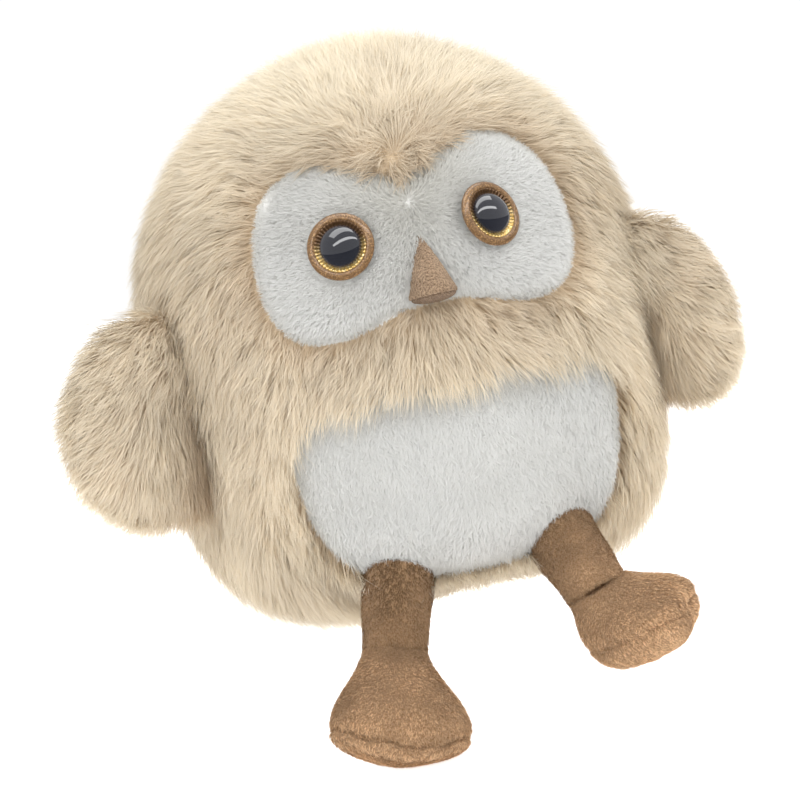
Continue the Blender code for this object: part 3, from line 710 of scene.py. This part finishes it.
def build_body(looks):
    rng = np.random.default_rng(SEED)
    skin, quads = body_skin()
    cloth_panel = panel_of(skin[quads].mean(1))
    roots, normals = scatter(skin, quads, STRANDS_PER_MM2, rng)
    root_panel = panel_of(roots)
    fur = [looks["backing"], looks["fur"]]
    for key, (name, node) in PANELS.items():
        mine, its = roots[root_panel == key], normals[root_panel == key]
        lift = 0.66 + 0.30 * bell(np.linalg.norm(mine - np.array(WHORL), axis=1), 18 * MM)
        flow, pile = body_flow(mine, rng), body_pile(mine)
        grown = strands(mine, its, flow, pile, lift, STRAND_WIDTH, LOCK_SPACING, rng)
        cloth = quads[cloth_panel == key]
        furry_piece(name, skin, cloth, grown, mine, body_shade_and_tone(mine), fur, "owl_body", [node])
    front = quads[skin[quads].mean(1)[:, 1] < -20 * MM]
    roots, normals = scatter(skin, front, WHITE_PER_MM2, rng)
    root_panel = panel_of(roots)
    white = [looks["white_backing"], looks["white"]]
    plush = ((FACE, "face_plush", "face_mask", mask_pile), (FRONT, "belly_plush", "belly_panel", belly_pile))
    for key, name, node, grow in plush:
        mine, its = roots[root_panel == key], normals[root_panel == key]
        keep, flow, length, lift = grow(mine)
        mine, its = mine[keep], its[keep]
        flow, length, lift = flow[keep], length[keep], lift[keep]
        grown = strands(mine, its, flow, length, lift, WHITE_WIDTH, WHITE_LOCKS, rng, 0.3, 0.5)
        cloth = quads[cloth_panel == key]
        furry_piece(name, skin, cloth, grown, mine, white_shade_and_tone(mine), white, "owl_body", [node])


def white_shade_and_tone(roots):
    """Where the white is painted greyer as shade: under the brow, beside the beak, along the seams and under
    the belly's top edge, with some random tone.
    """
    x, _, z = roots.T
    brow = np.hypot(x / 1.5, z - 119 * MM)
    beak = np.hypot(x, (z - 95 * MM) / 1.3)
    tan = 0.75 * bell(brow, 15 * MM) + 0.35 * bell(beak, 11 * MM)
    edge = np.minimum(distance_to(MASK, x, z), distance_to(BELLY, x, z))
    tan = tan + 0.35 * bell(edge, 3 * MM) + 0.5 * smoothstep(48 * MM, 62 * MM, z) * (z < 70 * MM)
    return np.clip(tan + 0.10 * waves(roots, 20 * MM, SEED + 9), 0, 1)


def mask_pile(roots):
    """The face's short pile lies outward from between the eyes and stays off the eyes."""
    x, y, z = roots.T
    middle = np.array([0, y.min(), 112 * MM])
    flow = roots - middle + np.array([0, 0, -0.004])
    length = np.full(len(roots), WHITE_PILE)
    length *= 0.55 + 0.45 * smoothstep(0, 5 * MM, distance_to(MASK, x, z))
    keep = np.ones(len(roots), bool)
    for centre, _ in EYES.values():
        away = np.linalg.norm(roots - np.array(centre), axis=1)
        keep &= away > 8.9 * MM
        length *= 0.72 + 0.28 * smoothstep(9 * MM, 17 * MM, away)
    return keep, flow, length, np.full(len(roots), 0.95)


def belly_pile(roots):
    """The belly's pile lies straight down, shorter and smoother than the face's."""
    flow = np.tile([0.0, -0.1, -1.0], (len(roots), 1))
    length = WHITE_PILE * (0.85 + 0.9 * smoothstep(20 * MM, 10 * MM, roots[:, 2]))
    return np.ones(len(roots), bool), flow, length, np.full(len(roots), 0.45)


# ---- wings


def joint(name):
    return next(j for j in frame["joints"] if j["name"] == name)


WING_LENGTH = {"right": 37 * MM, "left": 27 * MM}
WING_HALF_HEIGHT = {"right": 28 * MM, "left": 26 * MM}
WING_THICKNESS = 10 * MM
WING_DROOP = {"right": 4 * MM, "left": 10 * MM}
WING_ROOT = 7 * MM


def wing_frame(side):
    """Places a wing from its hinge and its filling: x outward from the seam, y to the back, z up."""
    seam = Vector(joint("wing_flap_" + side)["pos_m"])
    low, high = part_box("wing_stuffing_" + side)
    out = (Vector(low) + Vector(high)) / 2 - seam
    out = Vector((out.x, out.y, 0)).normalized()
    up = Vector((0, 0, 1))
    return Matrix.Translation(seam) @ Matrix((out, up.cross(out), up)).transposed().to_4x4()


def wing_skin(facing, place, side):
    """One face of a wing as a grid from its middle to its edge, pinched where it meets the body."""
    rows, columns = 26, 72
    rings = np.linspace(0.001, 1, rows)
    share, turn = np.meshgrid(rings, ring_angles(columns), indexing="ij")
    share, turn = share.reshape(-1), turn.reshape(-1)
    across, up = np.cos(turn), np.sin(turn)
    length = WING_LENGTH[side]
    half = (length + WING_ROOT) / 2
    shape = np.where(across > 0, np.abs(across) ** 0.85, np.abs(across) ** 0.55) * np.sign(across)
    x = half - WING_ROOT + half * share * shape
    z = WING_HALF_HEIGHT[side] * (1 - 0.20 * across) * up * share - WING_DROOP[side] * x / length
    round_edge = np.maximum(0, 1 - share**2) ** 0.55
    high = smoothstep(-6 * MM, 12 * MM, z)
    at_root = 1 - smoothstep(-WING_ROOT, 18 * MM, x)
    within_body = smoothstep(0, -5 * MM, x)
    shoulder = 1.6 * at_root * high * np.maximum(1 - share**6, within_body) * (facing < 0)
    thick = WING_THICKNESS * np.hypot(round_edge * (1 - 0.6 * at_root * (1 - high)), shoulder)
    points = np.stack([x, facing * thick, z], 1)
    world = np.array([place @ Vector(p) for p in points])
    quads = grid_faces(rows, columns)
    return world, quads if facing < 0 else quads[:, ::-1]


def build_wings(looks):
    fur = [looks["backing"], looks["fur"]]
    for side in ("right", "left"):
        rng = np.random.default_rng(SEED + (1 if side == "right" else 2))
        place = wing_frame(side)
        turn = np.array(place.to_3x3())
        length = WING_LENGTH[side]
        middle = np.array(place @ Vector((length / 2, 0, 0)))
        for facing, label in ((-1, "front"), (1, "back")):
            skin, quads = wing_skin(facing, place, side)
            along, down = skin[quads[:, 1]] - skin[quads[:, 0]], skin[quads[:, 2]] - skin[quads[:, 0]]
            if (np.cross(along, down) @ (turn[:, 1] * facing)).sum() < 0:
                quads = quads[:, ::-1]
            roots, normals = scatter(skin, quads, STRANDS_PER_MM2, rng)
            reach = (roots - np.array(place.translation)) @ turn[:, 0]
            above = roots[:, 2] - place.translation.z
            outward = 0.5 + 0.5 * smoothstep(0, length, reach) + 0.5 * smoothstep(-15 * MM, 20 * MM, above)
            flow = turn[:, 0] * outward[:, None] + np.array([0, 0, -1.0]) + 0.5 * unit(roots - middle)
            pile = PILE * (0.85 - 0.05 * smoothstep(0, length, reach))
            lift = np.full(len(roots), 0.50)
            grown = strands(roots, normals, flow, pile, lift, STRAND_WIDTH, LOCK_SPACING, rng, 0.8)
            # Painted shade: the fur is browner low in the crease where the wing meets the body, with some
            # random tone.
            crease = smoothstep(12 * MM, -4 * MM, above) * bell(reach + 1 * MM, 8 * MM)
            tan = np.clip(0.65 * crease + 0.14 * waves(roots, 34 * MM, SEED + 8), 0, 1)
            nodes = [f"wing_{label}_{side}"] + ([f"wing_stuffing_{side}"] if label == "front" else [])
            name, body = f"fur_wing_{label}_{side}", "wing_" + side
            furry_piece(name, skin, quads, grown, roots, tan, fur, body, nodes)


# ---- legs and feet


FOOT_PITCH = {"right": radians(0), "left": radians(16)}
LEG_RADIUS = 9.8 * MM
# Painted light and shade on the legs and feet: how light each leg starts under the body, how much lighter it
# grows toward the ankle, and how bright each foot's upper is, by side.
LEG_LIGHT = {"right": 0.0, "left": 0.18}
LEG_FADE = {"right": 0.42, "left": 0.55}
FOOT_LIGHT = {"right": 0.9, "left": 1.08}
HEEL = {"right": 11 * MM, "left": 10.6 * MM}
TOE = {"right": 28.5 * MM, "left": 23.5 * MM}
FOOT_HALF_WIDTH = {"right": 22.3 * MM, "left": 23.2 * MM}
FOOT_SEAM = {"right": 22.5 * MM, "left": 11.5 * MM}
SEAM_DIP = {"right": 4.8 * MM, "left": 2.2 * MM}
FOOT_ROLL = {"right": radians(0), "left": radians(-36)}
FOOT_TURN = {"right": radians(0), "left": radians(24)}
FOOT_SQUARE = {"right": 0.9, "left": 0.8}
FOOT_DROP = {"right": 31.5 * MM, "left": 22.8 * MM}
SOLE_ROUND = {"right": 1.15, "left": 0.75}


def leg_frames(side):
    """(leg, foot) frames: the leg's origin is the hip and the foot's is the ankle."""
    hip = Vector(joint("hip_splay_" + side)["pos_m"])
    bend = joint("ankle_bend_" + side)
    ankle = Vector(bend["pos_m"])
    up = (hip - ankle).normalized()
    across = -Vector(bend["axis"])
    back = up.cross(across).normalized()
    turn = Matrix((across, back, up)).transposed().to_4x4()
    foot = Matrix.Translation(ankle) @ turn
    for axis, angles in (("Z", FOOT_TURN), ("Y", FOOT_ROLL), ("X", FOOT_PITCH)):
        foot = foot @ Matrix.Rotation(angles[side], 4, axis)
    leg = Matrix.Translation(hip) @ turn
    return leg, foot, (hip - ankle).length


def closed_loft(name, rings, place, looks, shade):
    """A soft closed body through rings, its two ends drawn together, with one subdivision."""
    rows, columns = len(rings), len(rings[0])
    points = np.concatenate([*rings, rings[0].mean(0, keepdims=True), rings[-1].mean(0, keepdims=True)])
    quads = grid_faces(rows, columns)
    start = np.arange(columns)
    after = (start + 1) % columns
    last = (rows - 1) * columns
    low = np.stack([after, start, np.full(columns, rows * columns)], 1)
    high = np.stack([last + start, last + after, np.full(columns, rows * columns + 1)], 1)
    marks = np.concatenate([np.repeat(shade, columns), [shade[0], shade[-1]]])
    obj = to_mesh(name, moved(points, place), [quads, low, high], looks, None, {"shade": marks})
    step = obj.modifiers.new("smooth", "SUBSURF")
    step.levels = step.render_levels = 1
    return obj


NAP_PER_MM2 = 6.0
NAP_LENGTH = 1.5 * MM
NAP_WIDTH = 0.17 * MM


def napped_piece(name, rings, place, looks, shade, spread, body, nodes):
    """A stuffed part covered with a short dense nap, darker where shade is low."""
    rng = np.random.default_rng(SEED + len(name))
    local = np.concatenate(rings)
    columns = len(rings[0])
    quads = grid_faces(len(rings), columns)
    skin = moved(local, place)
    roots, normals = scatter(skin, quads, NAP_PER_MM2, rng)
    height = moved(roots, place.inverted())[:, 2]
    levels = np.array([ring[:, 2].mean() for ring in rings])
    order = np.argsort(levels)
    marks = np.interp(height, levels[order], np.array(shade)[order])
    turn = np.array(place.to_3x3())
    flow = unit(roots - np.array(place.translation)) * spread - turn[:, 2]
    length = np.full(len(roots), NAP_LENGTH)
    lift = np.full(len(roots), 0.55)
    grown = strands(roots, normals, flow, length, lift, NAP_WIDTH, 1.6 * MM, rng, 0.4, 0.45)
    # Painted shade: the nap darkens where the piece's shade marks are low, with some random tone.
    tan = np.clip(1 - marks + 0.20 * waves(roots, 14 * MM, SEED + 11), 0, 1)
    chart = (place, levels.min(), levels.max())
    furry_piece(name, skin, quads, grown, roots, tan, looks, body, nodes, chart)


LEG_RINGS = 30
LEG_COLUMNS = 72
FOOT_COLUMNS = 96


def leg_rings(length):
    """The leg's tube, from inside the body to just past the ankle, a little fuller at the thigh."""
    rings = []
    turn = ring_angles(LEG_COLUMNS)
    for k in range(LEG_RINGS + 1):
        share = k / LEG_RINGS
        height = 2 * MM - share * (length + 3 * MM)
        radius = LEG_RADIUS * (1.02 + 0.08 * cos(pi * share))
        radius *= 1 - 0.65 * float(1 - smoothstep(0.0, 0.12, share)) ** 2
        radius *= 1 - 0.08 * float(smoothstep(0.88, 1.0, share))
        ripple = 1 + 0.012 * np.sin(5 * turn + 9 * share) * (0.4 + share)
        ripple += 0.010 * np.sin(3 * turn - 14 * share)
        ring = [radius * np.cos(turn) * ripple, radius * np.sin(turn) * ripple, np.full(LEG_COLUMNS, height)]
        rings.append(np.stack(ring, 1))
    return rings


def foot_outline(turn, side):
    """The foot seen from above: narrow at the heel, a broad rounded toe with a cleft in the middle."""
    middle = (HEEL[side] - TOE[side]) / 2
    reach = (HEEL[side] + TOE[side]) / 2
    fan = 0.88 - 0.22 * np.sin(turn)
    toes = 1 - 0.05 * toe_cleft(turn)
    x = FOOT_HALF_WIDTH[side] * np.sign(np.cos(turn)) * np.abs(np.cos(turn)) ** FOOT_SQUARE[side] * fan
    return x, middle + reach * np.sin(turn) * toes


def toe_cleft(turn):
    """1 at the middle of the toes, falling off to both sides."""
    return bell(turn - 1.5 * pi, 0.17)


def foot_seam(turn, side):
    """Height of the seam round the foot: it dips toward the toes and puckers a little."""
    dip = SEAM_DIP[side] * np.maximum(-np.sin(turn), 0) ** 3
    return -FOOT_SEAM[side] - dip + 0.35 * MM * np.sin(7 * turn + 1) + 0.25 * MM * np.sin(13 * turn)


SEAM_PINCH = 0.97
TUCK = 1.2 * MM
CLEFT = 2.6 * MM


def pinch(share, width=0.05):
    """1 away from the seam, falling to SEAM_PINCH at it."""
    return SEAM_PINCH + (1 - SEAM_PINCH) * (1 - bell(share, width))


def tucked(ring, rise):
    """A seam's edge turned in behind the other panel's."""
    return ring * np.array([0.93, 0.93, 1]) + np.array([0, 0, rise])


def foot_upper_rings(side):
    """The foot's upper, from the ankle out to the seam, with its edge tucked in behind the sole's."""
    turn = ring_angles(FOOT_COLUMNS)
    x, y = foot_outline(turn, side)
    toe_side = np.maximum(-np.sin(turn), 0) ** 0.7
    neck = LEG_RADIUS * 0.93
    top = 3.0 * MM
    rings = []
    for share in np.concatenate([np.linspace(0, 0.9, 22), [0.93, 0.955, 0.975, 0.99, 1.0]]):
        spread = 0.75 * float(smoothstep(-0.04, 0.97, share)) + 0.25 * share
        full = (1 + 0.05 * sin(pi * share**1.6)) * pinch(1 - share)
        height = top - share * (top - foot_seam(turn, side))
        ring_x = neck * np.cos(turn) * (1 - spread) + x * spread * full
        forward = spread + (sin(pi / 2 * share) ** 1.1 - spread) * toe_side
        ring_y = neck * np.sin(turn) * (1 - forward) + y * forward * full
        pucker = 1 + 0.012 * share**8 * np.sin(19 * turn) + 0.008 * share * np.sin(5 * turn + 9 * share)
        cleft = CLEFT * share**4 * toe_cleft(turn)
        rings.append(np.stack([ring_x * pucker, ring_y * pucker + cleft, height], 1))
    return rings + [tucked(rings[-1], -TUCK)]


def sole_rings(side):
    """The foot's sole, round underneath, with its edge tucked in behind the upper's."""
    turn = ring_angles(FOOT_COLUMNS)
    x, y = foot_outline(turn, side)
    middle = (HEEL[side] - TOE[side]) / 2
    seam = foot_seam(turn, side)
    rings = []
    for share in np.concatenate([[0.0, 0.02, 0.045, 0.08], np.linspace(0.13, 1, 13)]):
        angle = pi / 2 * share
        shrink = max(cos(angle) ** SOLE_ROUND[side], 0.02) * pinch(share)
        level = seam * (1 - share) + seam.mean() * share
        height = level - (FOOT_DROP[side] + seam.mean()) * sin(angle) ** 0.9
        cleft = CLEFT * (1 - share) ** 2 * toe_cleft(turn)
        pucker = 1 + 0.012 * (1 - share) ** 8 * np.sin(19 * turn)
        shrink = shrink * pucker
        rings.append(np.stack([x * shrink, middle + (y - middle) * shrink + cleft, height], 1))
    return [tucked(rings[0], TUCK)] + rings


def capped(rings):
    """The rings with a point ring closing each end."""
    ends = [np.repeat(ring.mean(0, keepdims=True), len(ring), axis=0) for ring in (rings[0], rings[-1])]
    return [ends[0] + (rings[0] - ends[0]) * 0.01] + rings + [ends[1] + (rings[-1] - ends[1]) * 0.01]


def build_legs(looks):
    """The shades run from the top ring down: dark under the body, light on the feet, dimmer at the seam."""
    skins = [looks["suede"], looks["nap"]]
    for side in ("right", "left"):
        leg, foot, length = leg_frames(side)
        tube, upper, sole = (capped(r) for r in (leg_rings(length), foot_upper_rings(side), sole_rings(side)))
        tube_shade = LEG_LIGHT[side] + LEG_FADE[side] * np.clip(np.linspace(-0.25, 1.2, len(tube)), 0, 1)
        instep, at_seam = np.linspace(0.5, 1, 9), [0.95, 0.9, 0.8, 0.8]
        upper_shade = np.concatenate([instep, np.full(len(upper) - 13, 1), at_seam]) * FOOT_LIGHT[side]
        sole_shade = np.concatenate([[0.7, 0.7, 0.8, 0.9], np.full(len(sole) - 4, 1.0)])
        for name, rings, place, shade, spread, body, nodes in (
            ("leg_tube_", tube, leg, tube_shade, 0.0, "leg_", ("leg_sleeve_", "leg_stuffing_")),
            ("foot_top_", upper, foot, upper_shade, 1.2, "foot_", ("foot_upper_", "foot_stuffing_")),
            ("foot_pad_", sole, foot, sole_shade, 1.2, "foot_", ("foot_sole_",)),
        ):
            nodes = [node + side for node in nodes]
            napped_piece(name + side, rings[::-1], place, skins, shade[::-1], spread, body + side, nodes)


# ---- eyes


EYE_SEGMENTS = 96
RIBS = 42


def spin(name, profile, place, look, ribs):
    """A turned piece, with ribs of this depth round it."""
    columns = EYE_SEGMENTS * (2 if ribs else 1)
    turn = ring_angles(columns)
    rings = []
    for index, (radius, height) in enumerate(profile):
        wave = (ribs and ribs * RIB_SHARES[index]) * np.cos(RIBS * turn)
        rings.append(np.stack([radius * np.cos(turn), radius * np.sin(turn), height + wave], 1))
    points = np.concatenate(rings)
    faces = [grid_faces(len(rings), columns)]
    if profile[0][0] > 1e-5:
        start = np.arange(columns)
        after = (start + 1) % columns
        last = (len(rings) - 1) * columns
        faces.append(np.stack([last + start, last + after, after, start], 1))
    # Painted light and shade: 1 at the bottom of the piece and 0 at its top, which the gold ring uses to
    # shade its top.
    painted_shade_by_height = 0.5 - points[:, 1] / (2 * np.abs(points[:, 1]).max())
    return to_mesh(name, moved(points, place), faces, [look], None, {"shade": painted_shade_by_height})


def eye_place(side):
    """The eye's own frame: z looks out of the head, and the origin is the middle of the iris ring's foot."""
    centre, axis = EYES[side]
    turn = axis.to_track_quat("Z", "Y").to_matrix().to_4x4()
    return Matrix.Translation(centre) @ turn


RIM_EDGE = [(7.6, -0.4), (9.2, -0.6), (9.8, -0.2), (10.0, 0.5), (9.9, 1.0)]
RIM = RIM_EDGE + [(9.4, 1.4), (8.8, 1.6), (8.2, 1.65), (7.7, 1.45)]
IRIS = [(5.3, 0.0), (7.6, 0.0), (7.75, 1.35), (7.55, 1.5), (7.1, 1.25), (6.7, 1.0), (6.2, 0.8), (5.4, 0.7)]
RIB_SHARES = [0, 0, 0.2, 0.7, 1.0, 1.0, 0.7, 0.2]
RIB_DEPTH = 0.24 * MM
DOME_ARC = [(6.3 * cos(pi / 36 * k) + 0.001, 0.7 + 3.5 * sin(pi / 36 * k)) for k in range(1, 19)]
DOME = [(0.001, 0.1), (6.3, 0.1)] + DOME_ARC
LOCK_STEM = [(0.001, -11.0), (1.5, -10.5), (1.9, -7.7)]
LOCK_WASHER = [(6.8, -7.3), (6.6, -6.6), (1.9, -6.2), (1.9, -0.8), (0.001, -0.8)]


def build_eyes(looks):
    """Each eye's turned pieces, their profiles in millimetres as radius and height."""
    for side in ("right", "left"):
        for name, profile, look, ribs, nodes in (
            ("eye_rim_glitter_", RIM, "amber", 0.0, ("eye_rim_",)),
            ("eye_iris_ring_", IRIS, "gold", RIB_DEPTH, ("eye_iris_",)),
            ("eye_dome_", DOME, "black", 0.0, ("eye_pupil_",)),
            ("eye_lock_", LOCK_STEM + LOCK_WASHER, "plastic", 0.0, ("eye_stem_", "eye_washer_")),
        ):
            profile = [(radius * MM, height * MM) for radius, height in profile]
            piece = spin(name + side, profile, eye_place(side), looks[look], ribs)
            ride_and_replace(piece, "owl_body", *(node + side for node in nodes))


def eye_looks():
    amber = Look("amber_glitter")
    sparkle = amber.add("ShaderNodeTexVoronoi", Scale=3200.0, Vector=amber.place())
    glint = amber.span(sparkle.outputs["Color"], 0.2, 0.9)
    browns = [(0.0, (0.12, 0.060, 0.022)), (0.6, (0.22, 0.118, 0.046)), (1.0, (0.38, 0.22, 0.09))]
    colour = amber.ramp(glint, browns)
    amber.set(Base_Color=colour, Roughness=0.38, Metallic=0.25, Coat_Weight=0.6, Coat_Roughness=0.12)
    amber.set(Normal=amber.bump(glint, 0.08 * MM))
    gold = Look("gold_ribs")
    sparkle = gold.add("ShaderNodeTexVoronoi", Scale=2600.0, Vector=gold.place())
    glint = gold.span(sparkle.outputs["Color"], 0.1, 0.9)
    golds = [(0.0, (0.62, 0.36, 0.08)), (0.6, (0.86, 0.60, 0.20)), (1.0, (1.0, 0.88, 0.55))]
    colour = gold.ramp(glint, golds)
    # Painted shade: the gold turns dark brown toward the top of the ring, as though the rim shades it, and
    # stays bright gold lower down where the light falls.
    lit = gold.span(gold.attribute("shade"), 0.35, 0.75)
    colour = gold.mix(lit, (0.13, 0.065, 0.025), colour)
    gold.set(Base_Color=colour, Roughness=0.28, Metallic=0.7, Coat_Weight=0.5, Coat_Roughness=0.1)
    black = Look("black_dome")
    # Painted sheen: the black is made a little lighter toward the dome's edges as they turn away from view.
    depth = black.add("ShaderNodeLayerWeight", Blend=0.35)
    blacks = [(0.0, (0.010, 0.011, 0.016)), (0.9, (0.035, 0.035, 0.045))]
    colour = black.ramp(depth.outputs["Facing"], blacks)
    black.set(Base_Color=colour, Roughness=0.04, Coat_Weight=1.0, Coat_Roughness=0.02)
    return {"amber": amber.material, "gold": gold.material, "black": black.material}


# ---- beak


BEAK_ROWS = 22
BEAK_COLUMNS = 40
COVER_HEM = ((0.985, 0.45), (0.95, 0.8))
UNDERSIDE = ((0.96, -0.5), (0.97, 0.1), (0.9, 0.8), (0.65, 1.4), (0.3, 1.7), (0.06, 1.8))


def drawn_in(ring, shrink, drop):
    """A ring shrunk to its middle and lowered by this many millimetres."""
    moved_ring = ring.copy()
    middle = ring.mean(0)
    moved_ring[:, :2] = middle[:2] + (ring[:, :2] - middle[:2]) * shrink
    moved_ring[:, 2] -= drop * MM
    return moved_ring


def build_beak(looks):
    """A suede half cone, point up, with a soft ridge, painted shade along its turned-in hem, and a separate
    underside painted darker as shade.
    """
    low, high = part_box("beak_cover")
    top, bottom = high[2] + 1.5 * MM, low[2] - 0.6 * MM
    half_width = (high[0] - low[0]) / 2 + 0.2 * MM
    reach = skin_front(bottom) - low[1]
    turn = ring_angles(BEAK_COLUMNS)
    out = np.sin(turn)
    ridge = np.where(out > 0, np.abs(out) ** 1.15, -np.abs(out) * 0.15)
    rings = []
    for share in np.arange(BEAK_ROWS) / (BEAK_ROWS - 1):
        height = top - (top - bottom) * share
        wide = half_width * (0.06 + 0.94 * share**0.9)
        deep = reach * (0.06 + 0.94 * share**1.05)
        skin = skin_front(height) + 1.2 * MM
        lip = height + 0.9 * MM * np.maximum(out, 0) * share
        rings.append(np.stack([wide * np.cos(turn), skin - deep * ridge, lip], 1))
    for shrink, drop in COVER_HEM:
        rings.append(drawn_in(rings[BEAK_ROWS - 1], shrink, drop))
    # Painted shade: the hem rows are marked darker where the cover turns in underneath.
    shade = np.concatenate([np.full(BEAK_ROWS - 1, 1.0), [0.9, 0.8, 0.7]])
    still = Matrix.Identity(4)
    cover = closed_loft("beak_suede", rings, still, [looks["beak"]], shade)
    ride_and_replace(cover, "owl_body", "beak_cover", "beak_stuffing")
    under = [drawn_in(rings[-1], shrink, drop) for shrink, drop in UNDERSIDE]
    sole = closed_loft("beak_under", under, still, [looks["beak_under"]], np.full(len(under), 0.6))
    ride_and_replace(sole, "owl_body", "beak_underside")


# ---- hidden pieces keep their CAD shape


def dress_hidden(looks):
    for name, node in frame["nodes"].items():
        if node.type == "MESH" and ("stuffing" in name or "hip_tab" in name):
            for slot in node.material_slots:
                slot.material = looks["filling"]


def filling_look():
    look = Look("fibre_filling")
    colour = look.ramp(look.noise(240.0, 4.0), [(0.3, (0.62, 0.62, 0.60)), (0.7, (0.88, 0.88, 0.86))])
    look.set(Base_Color=colour, Roughness=1.0, Normal=look.bump(look.noise(420.0, 4.0), 0.6 * MM))
    return look.material


def plastic_look():
    look = Look("moulded_plastic")
    colour = look.ramp(look.noise(300.0), [(0.3, (0.015, 0.015, 0.016)), (0.7, (0.03, 0.03, 0.032))])
    look.set(Base_Color=colour, Roughness=0.4, Normal=look.bump(look.noise(900.0), 0.05 * MM))
    return look.material


# ---- stage, light, camera


FLOOR_GAP = 1 * MM
CAMERA_AZIMUTH = radians(10)
CAMERA_ELEVATION = radians(4)
CAMERA_ROLL = radians(12.4)
CAMERA_DISTANCE = 0.95
FRAME_WIDTH = 0.25
FRAME_DROP = 27.5 * MM
FRAME_SHIFT = 2.2 * MM
SENSOR = 36.0


def build_floor():
    size = 6.0
    height = CAD_BOX[0][2] - FLOOR_GAP
    points = np.array([[x * size, y * size, height] for x, y in ((-1, -1), (1, -1), (1, 1), (-1, 1))])
    look = Look("pale_floor")
    speck = look.ramp(look.noise(3.0), [(0.0, (0.93, 0.93, 0.93)), (1.0, (0.96, 0.96, 0.96))])
    mirrored = look.add("ShaderNodeLightPath").outputs["Is Glossy Ray"]
    glow = look.span(mirrored, 0.0, 1.0, 0.85, 0.0)
    look.set(Base_Color=look.mix(mirrored, speck, (0.05, 0.05, 0.05)), Roughness=0.8)
    look.set(Emission_Color=(1.0, 1.0, 1.0), Emission_Strength=glow)
    to_mesh("floor", points, [np.array([[0, 1, 2, 3]])], [look.material])


# Each light's name, place, width and height in metres, power in watts, and whether the eyes mirror it.
LIGHTS = (
    ("key", (0.15, -0.80, 0.75), 2.4, 0.16, 6.5, True),
    ("top", (0.05, -0.15, 1.05), 1.6, 0.5, 8.0, True),
    ("fill", (-0.9, -0.8, 0.35), 0.7, 0.7, 2.5, False),
    ("fill_right", (0.95, -0.65, 0.20), 0.7, 0.7, 1.8, False),
    ("rim", (0.5, 1.0, 0.55), 0.8, 0.8, 4.0, False),
)


def build_light():
    world = bpy.data.worlds.new("studio")
    bpy.context.scene.world = world
    world.use_nodes = True
    tree = world.node_tree
    sky = tree.nodes["Background"]
    path = tree.nodes.new("ShaderNodeLightPath")
    level = tree.nodes.new("ShaderNodeMapRange")
    tree.links.new(path.outputs["Is Camera Ray"], level.inputs["Value"])
    level.inputs["To Min"].default_value = 0.60
    level.inputs["To Max"].default_value = 1.05
    tree.links.new(level.outputs["Result"], sky.inputs["Strength"])
    sky.inputs["Color"].default_value = (1, 1, 1, 1)
    for light in LIGHTS:
        area_light(*light)


def area_light(name, place, width, height, power, mirrored):
    data = bpy.data.lights.new(name, "AREA")
    data.shape = "RECTANGLE"
    data.size, data.size_y, data.energy = width, height, power
    obj = bpy.data.objects.new(name, data)
    obj.location = place
    aim = Vector((0, 0, WAIST)) - Vector(place)
    obj.rotation_euler = aim.to_track_quat("-Z", "Y").to_euler()
    obj.visible_glossy = mirrored
    bpy.context.scene.collection.objects.link(obj)


def build_camera():
    a, e, roll = CAMERA_AZIMUTH, CAMERA_ELEVATION, CAMERA_ROLL
    back = Vector((-sin(a) * cos(e), -cos(a) * cos(e), sin(e)))
    level_right = Vector((cos(a), -sin(a), 0))
    level_up = back.cross(level_right)
    right = level_right * cos(roll) - level_up * sin(roll)
    up = level_right * sin(roll) + level_up * cos(roll)
    target = Vector((0, 0, BODY_TOP / 2)) - up * FRAME_DROP + right * FRAME_SHIFT
    data = bpy.data.cameras.new("camera")
    data.sensor_width = SENSOR
    data.lens = SENSOR * CAMERA_DISTANCE / FRAME_WIDTH
    obj = bpy.data.objects.new("camera", data)
    turn = Matrix((right, up, back)).transposed().to_4x4()
    obj.matrix_world = Matrix.Translation(target + back * CAMERA_DISTANCE) @ turn
    bpy.context.scene.collection.objects.link(obj)
    bpy.context.scene.camera = obj


def main():
    looks = {
        "backing": cloth_look("fur_backing", *BACKING),
        "white_backing": cloth_look("plush_backing", *WHITE_BACKING),
        "fur": fur_look("long_fur", ROOT_TAN, FUR_BEIGE, FUR_TIP, FUR_CREAM_TOP_LIT, CREASE_SHADE, 0.10),
        "white": fur_look("white_plush", WHITE_ROOT, WHITE_TIP, WHITE_TIP, WHITE_TIP, WHITE_SHADE, 0.03),
        "suede": suede_look("velboa_backing", SUEDE_DARK, SUEDE_LIGHT),
        "nap": fur_look("velboa_nap", SUEDE_DARK, NAP_BROWN, NAP_TIP, NAP_TIP, NAP_SHADE, 0.30),
        "beak": suede_look("suede_beak", *BEAK, 0.4),
        "beak_under": suede_look("suede_beak_under", *BEAK_UNDER_SHADE),
        "filling": filling_look(),
        "plastic": plastic_look(),
        **eye_looks(),
    }
    build_body(looks)
    build_wings(looks)
    build_legs(looks)
    build_eyes(looks)
    build_beak(looks)
    dress_hidden(looks)
    build_floor()
    build_light()
    build_camera()
    bpy.context.scene.view_settings.view_transform = "Standard"


main()
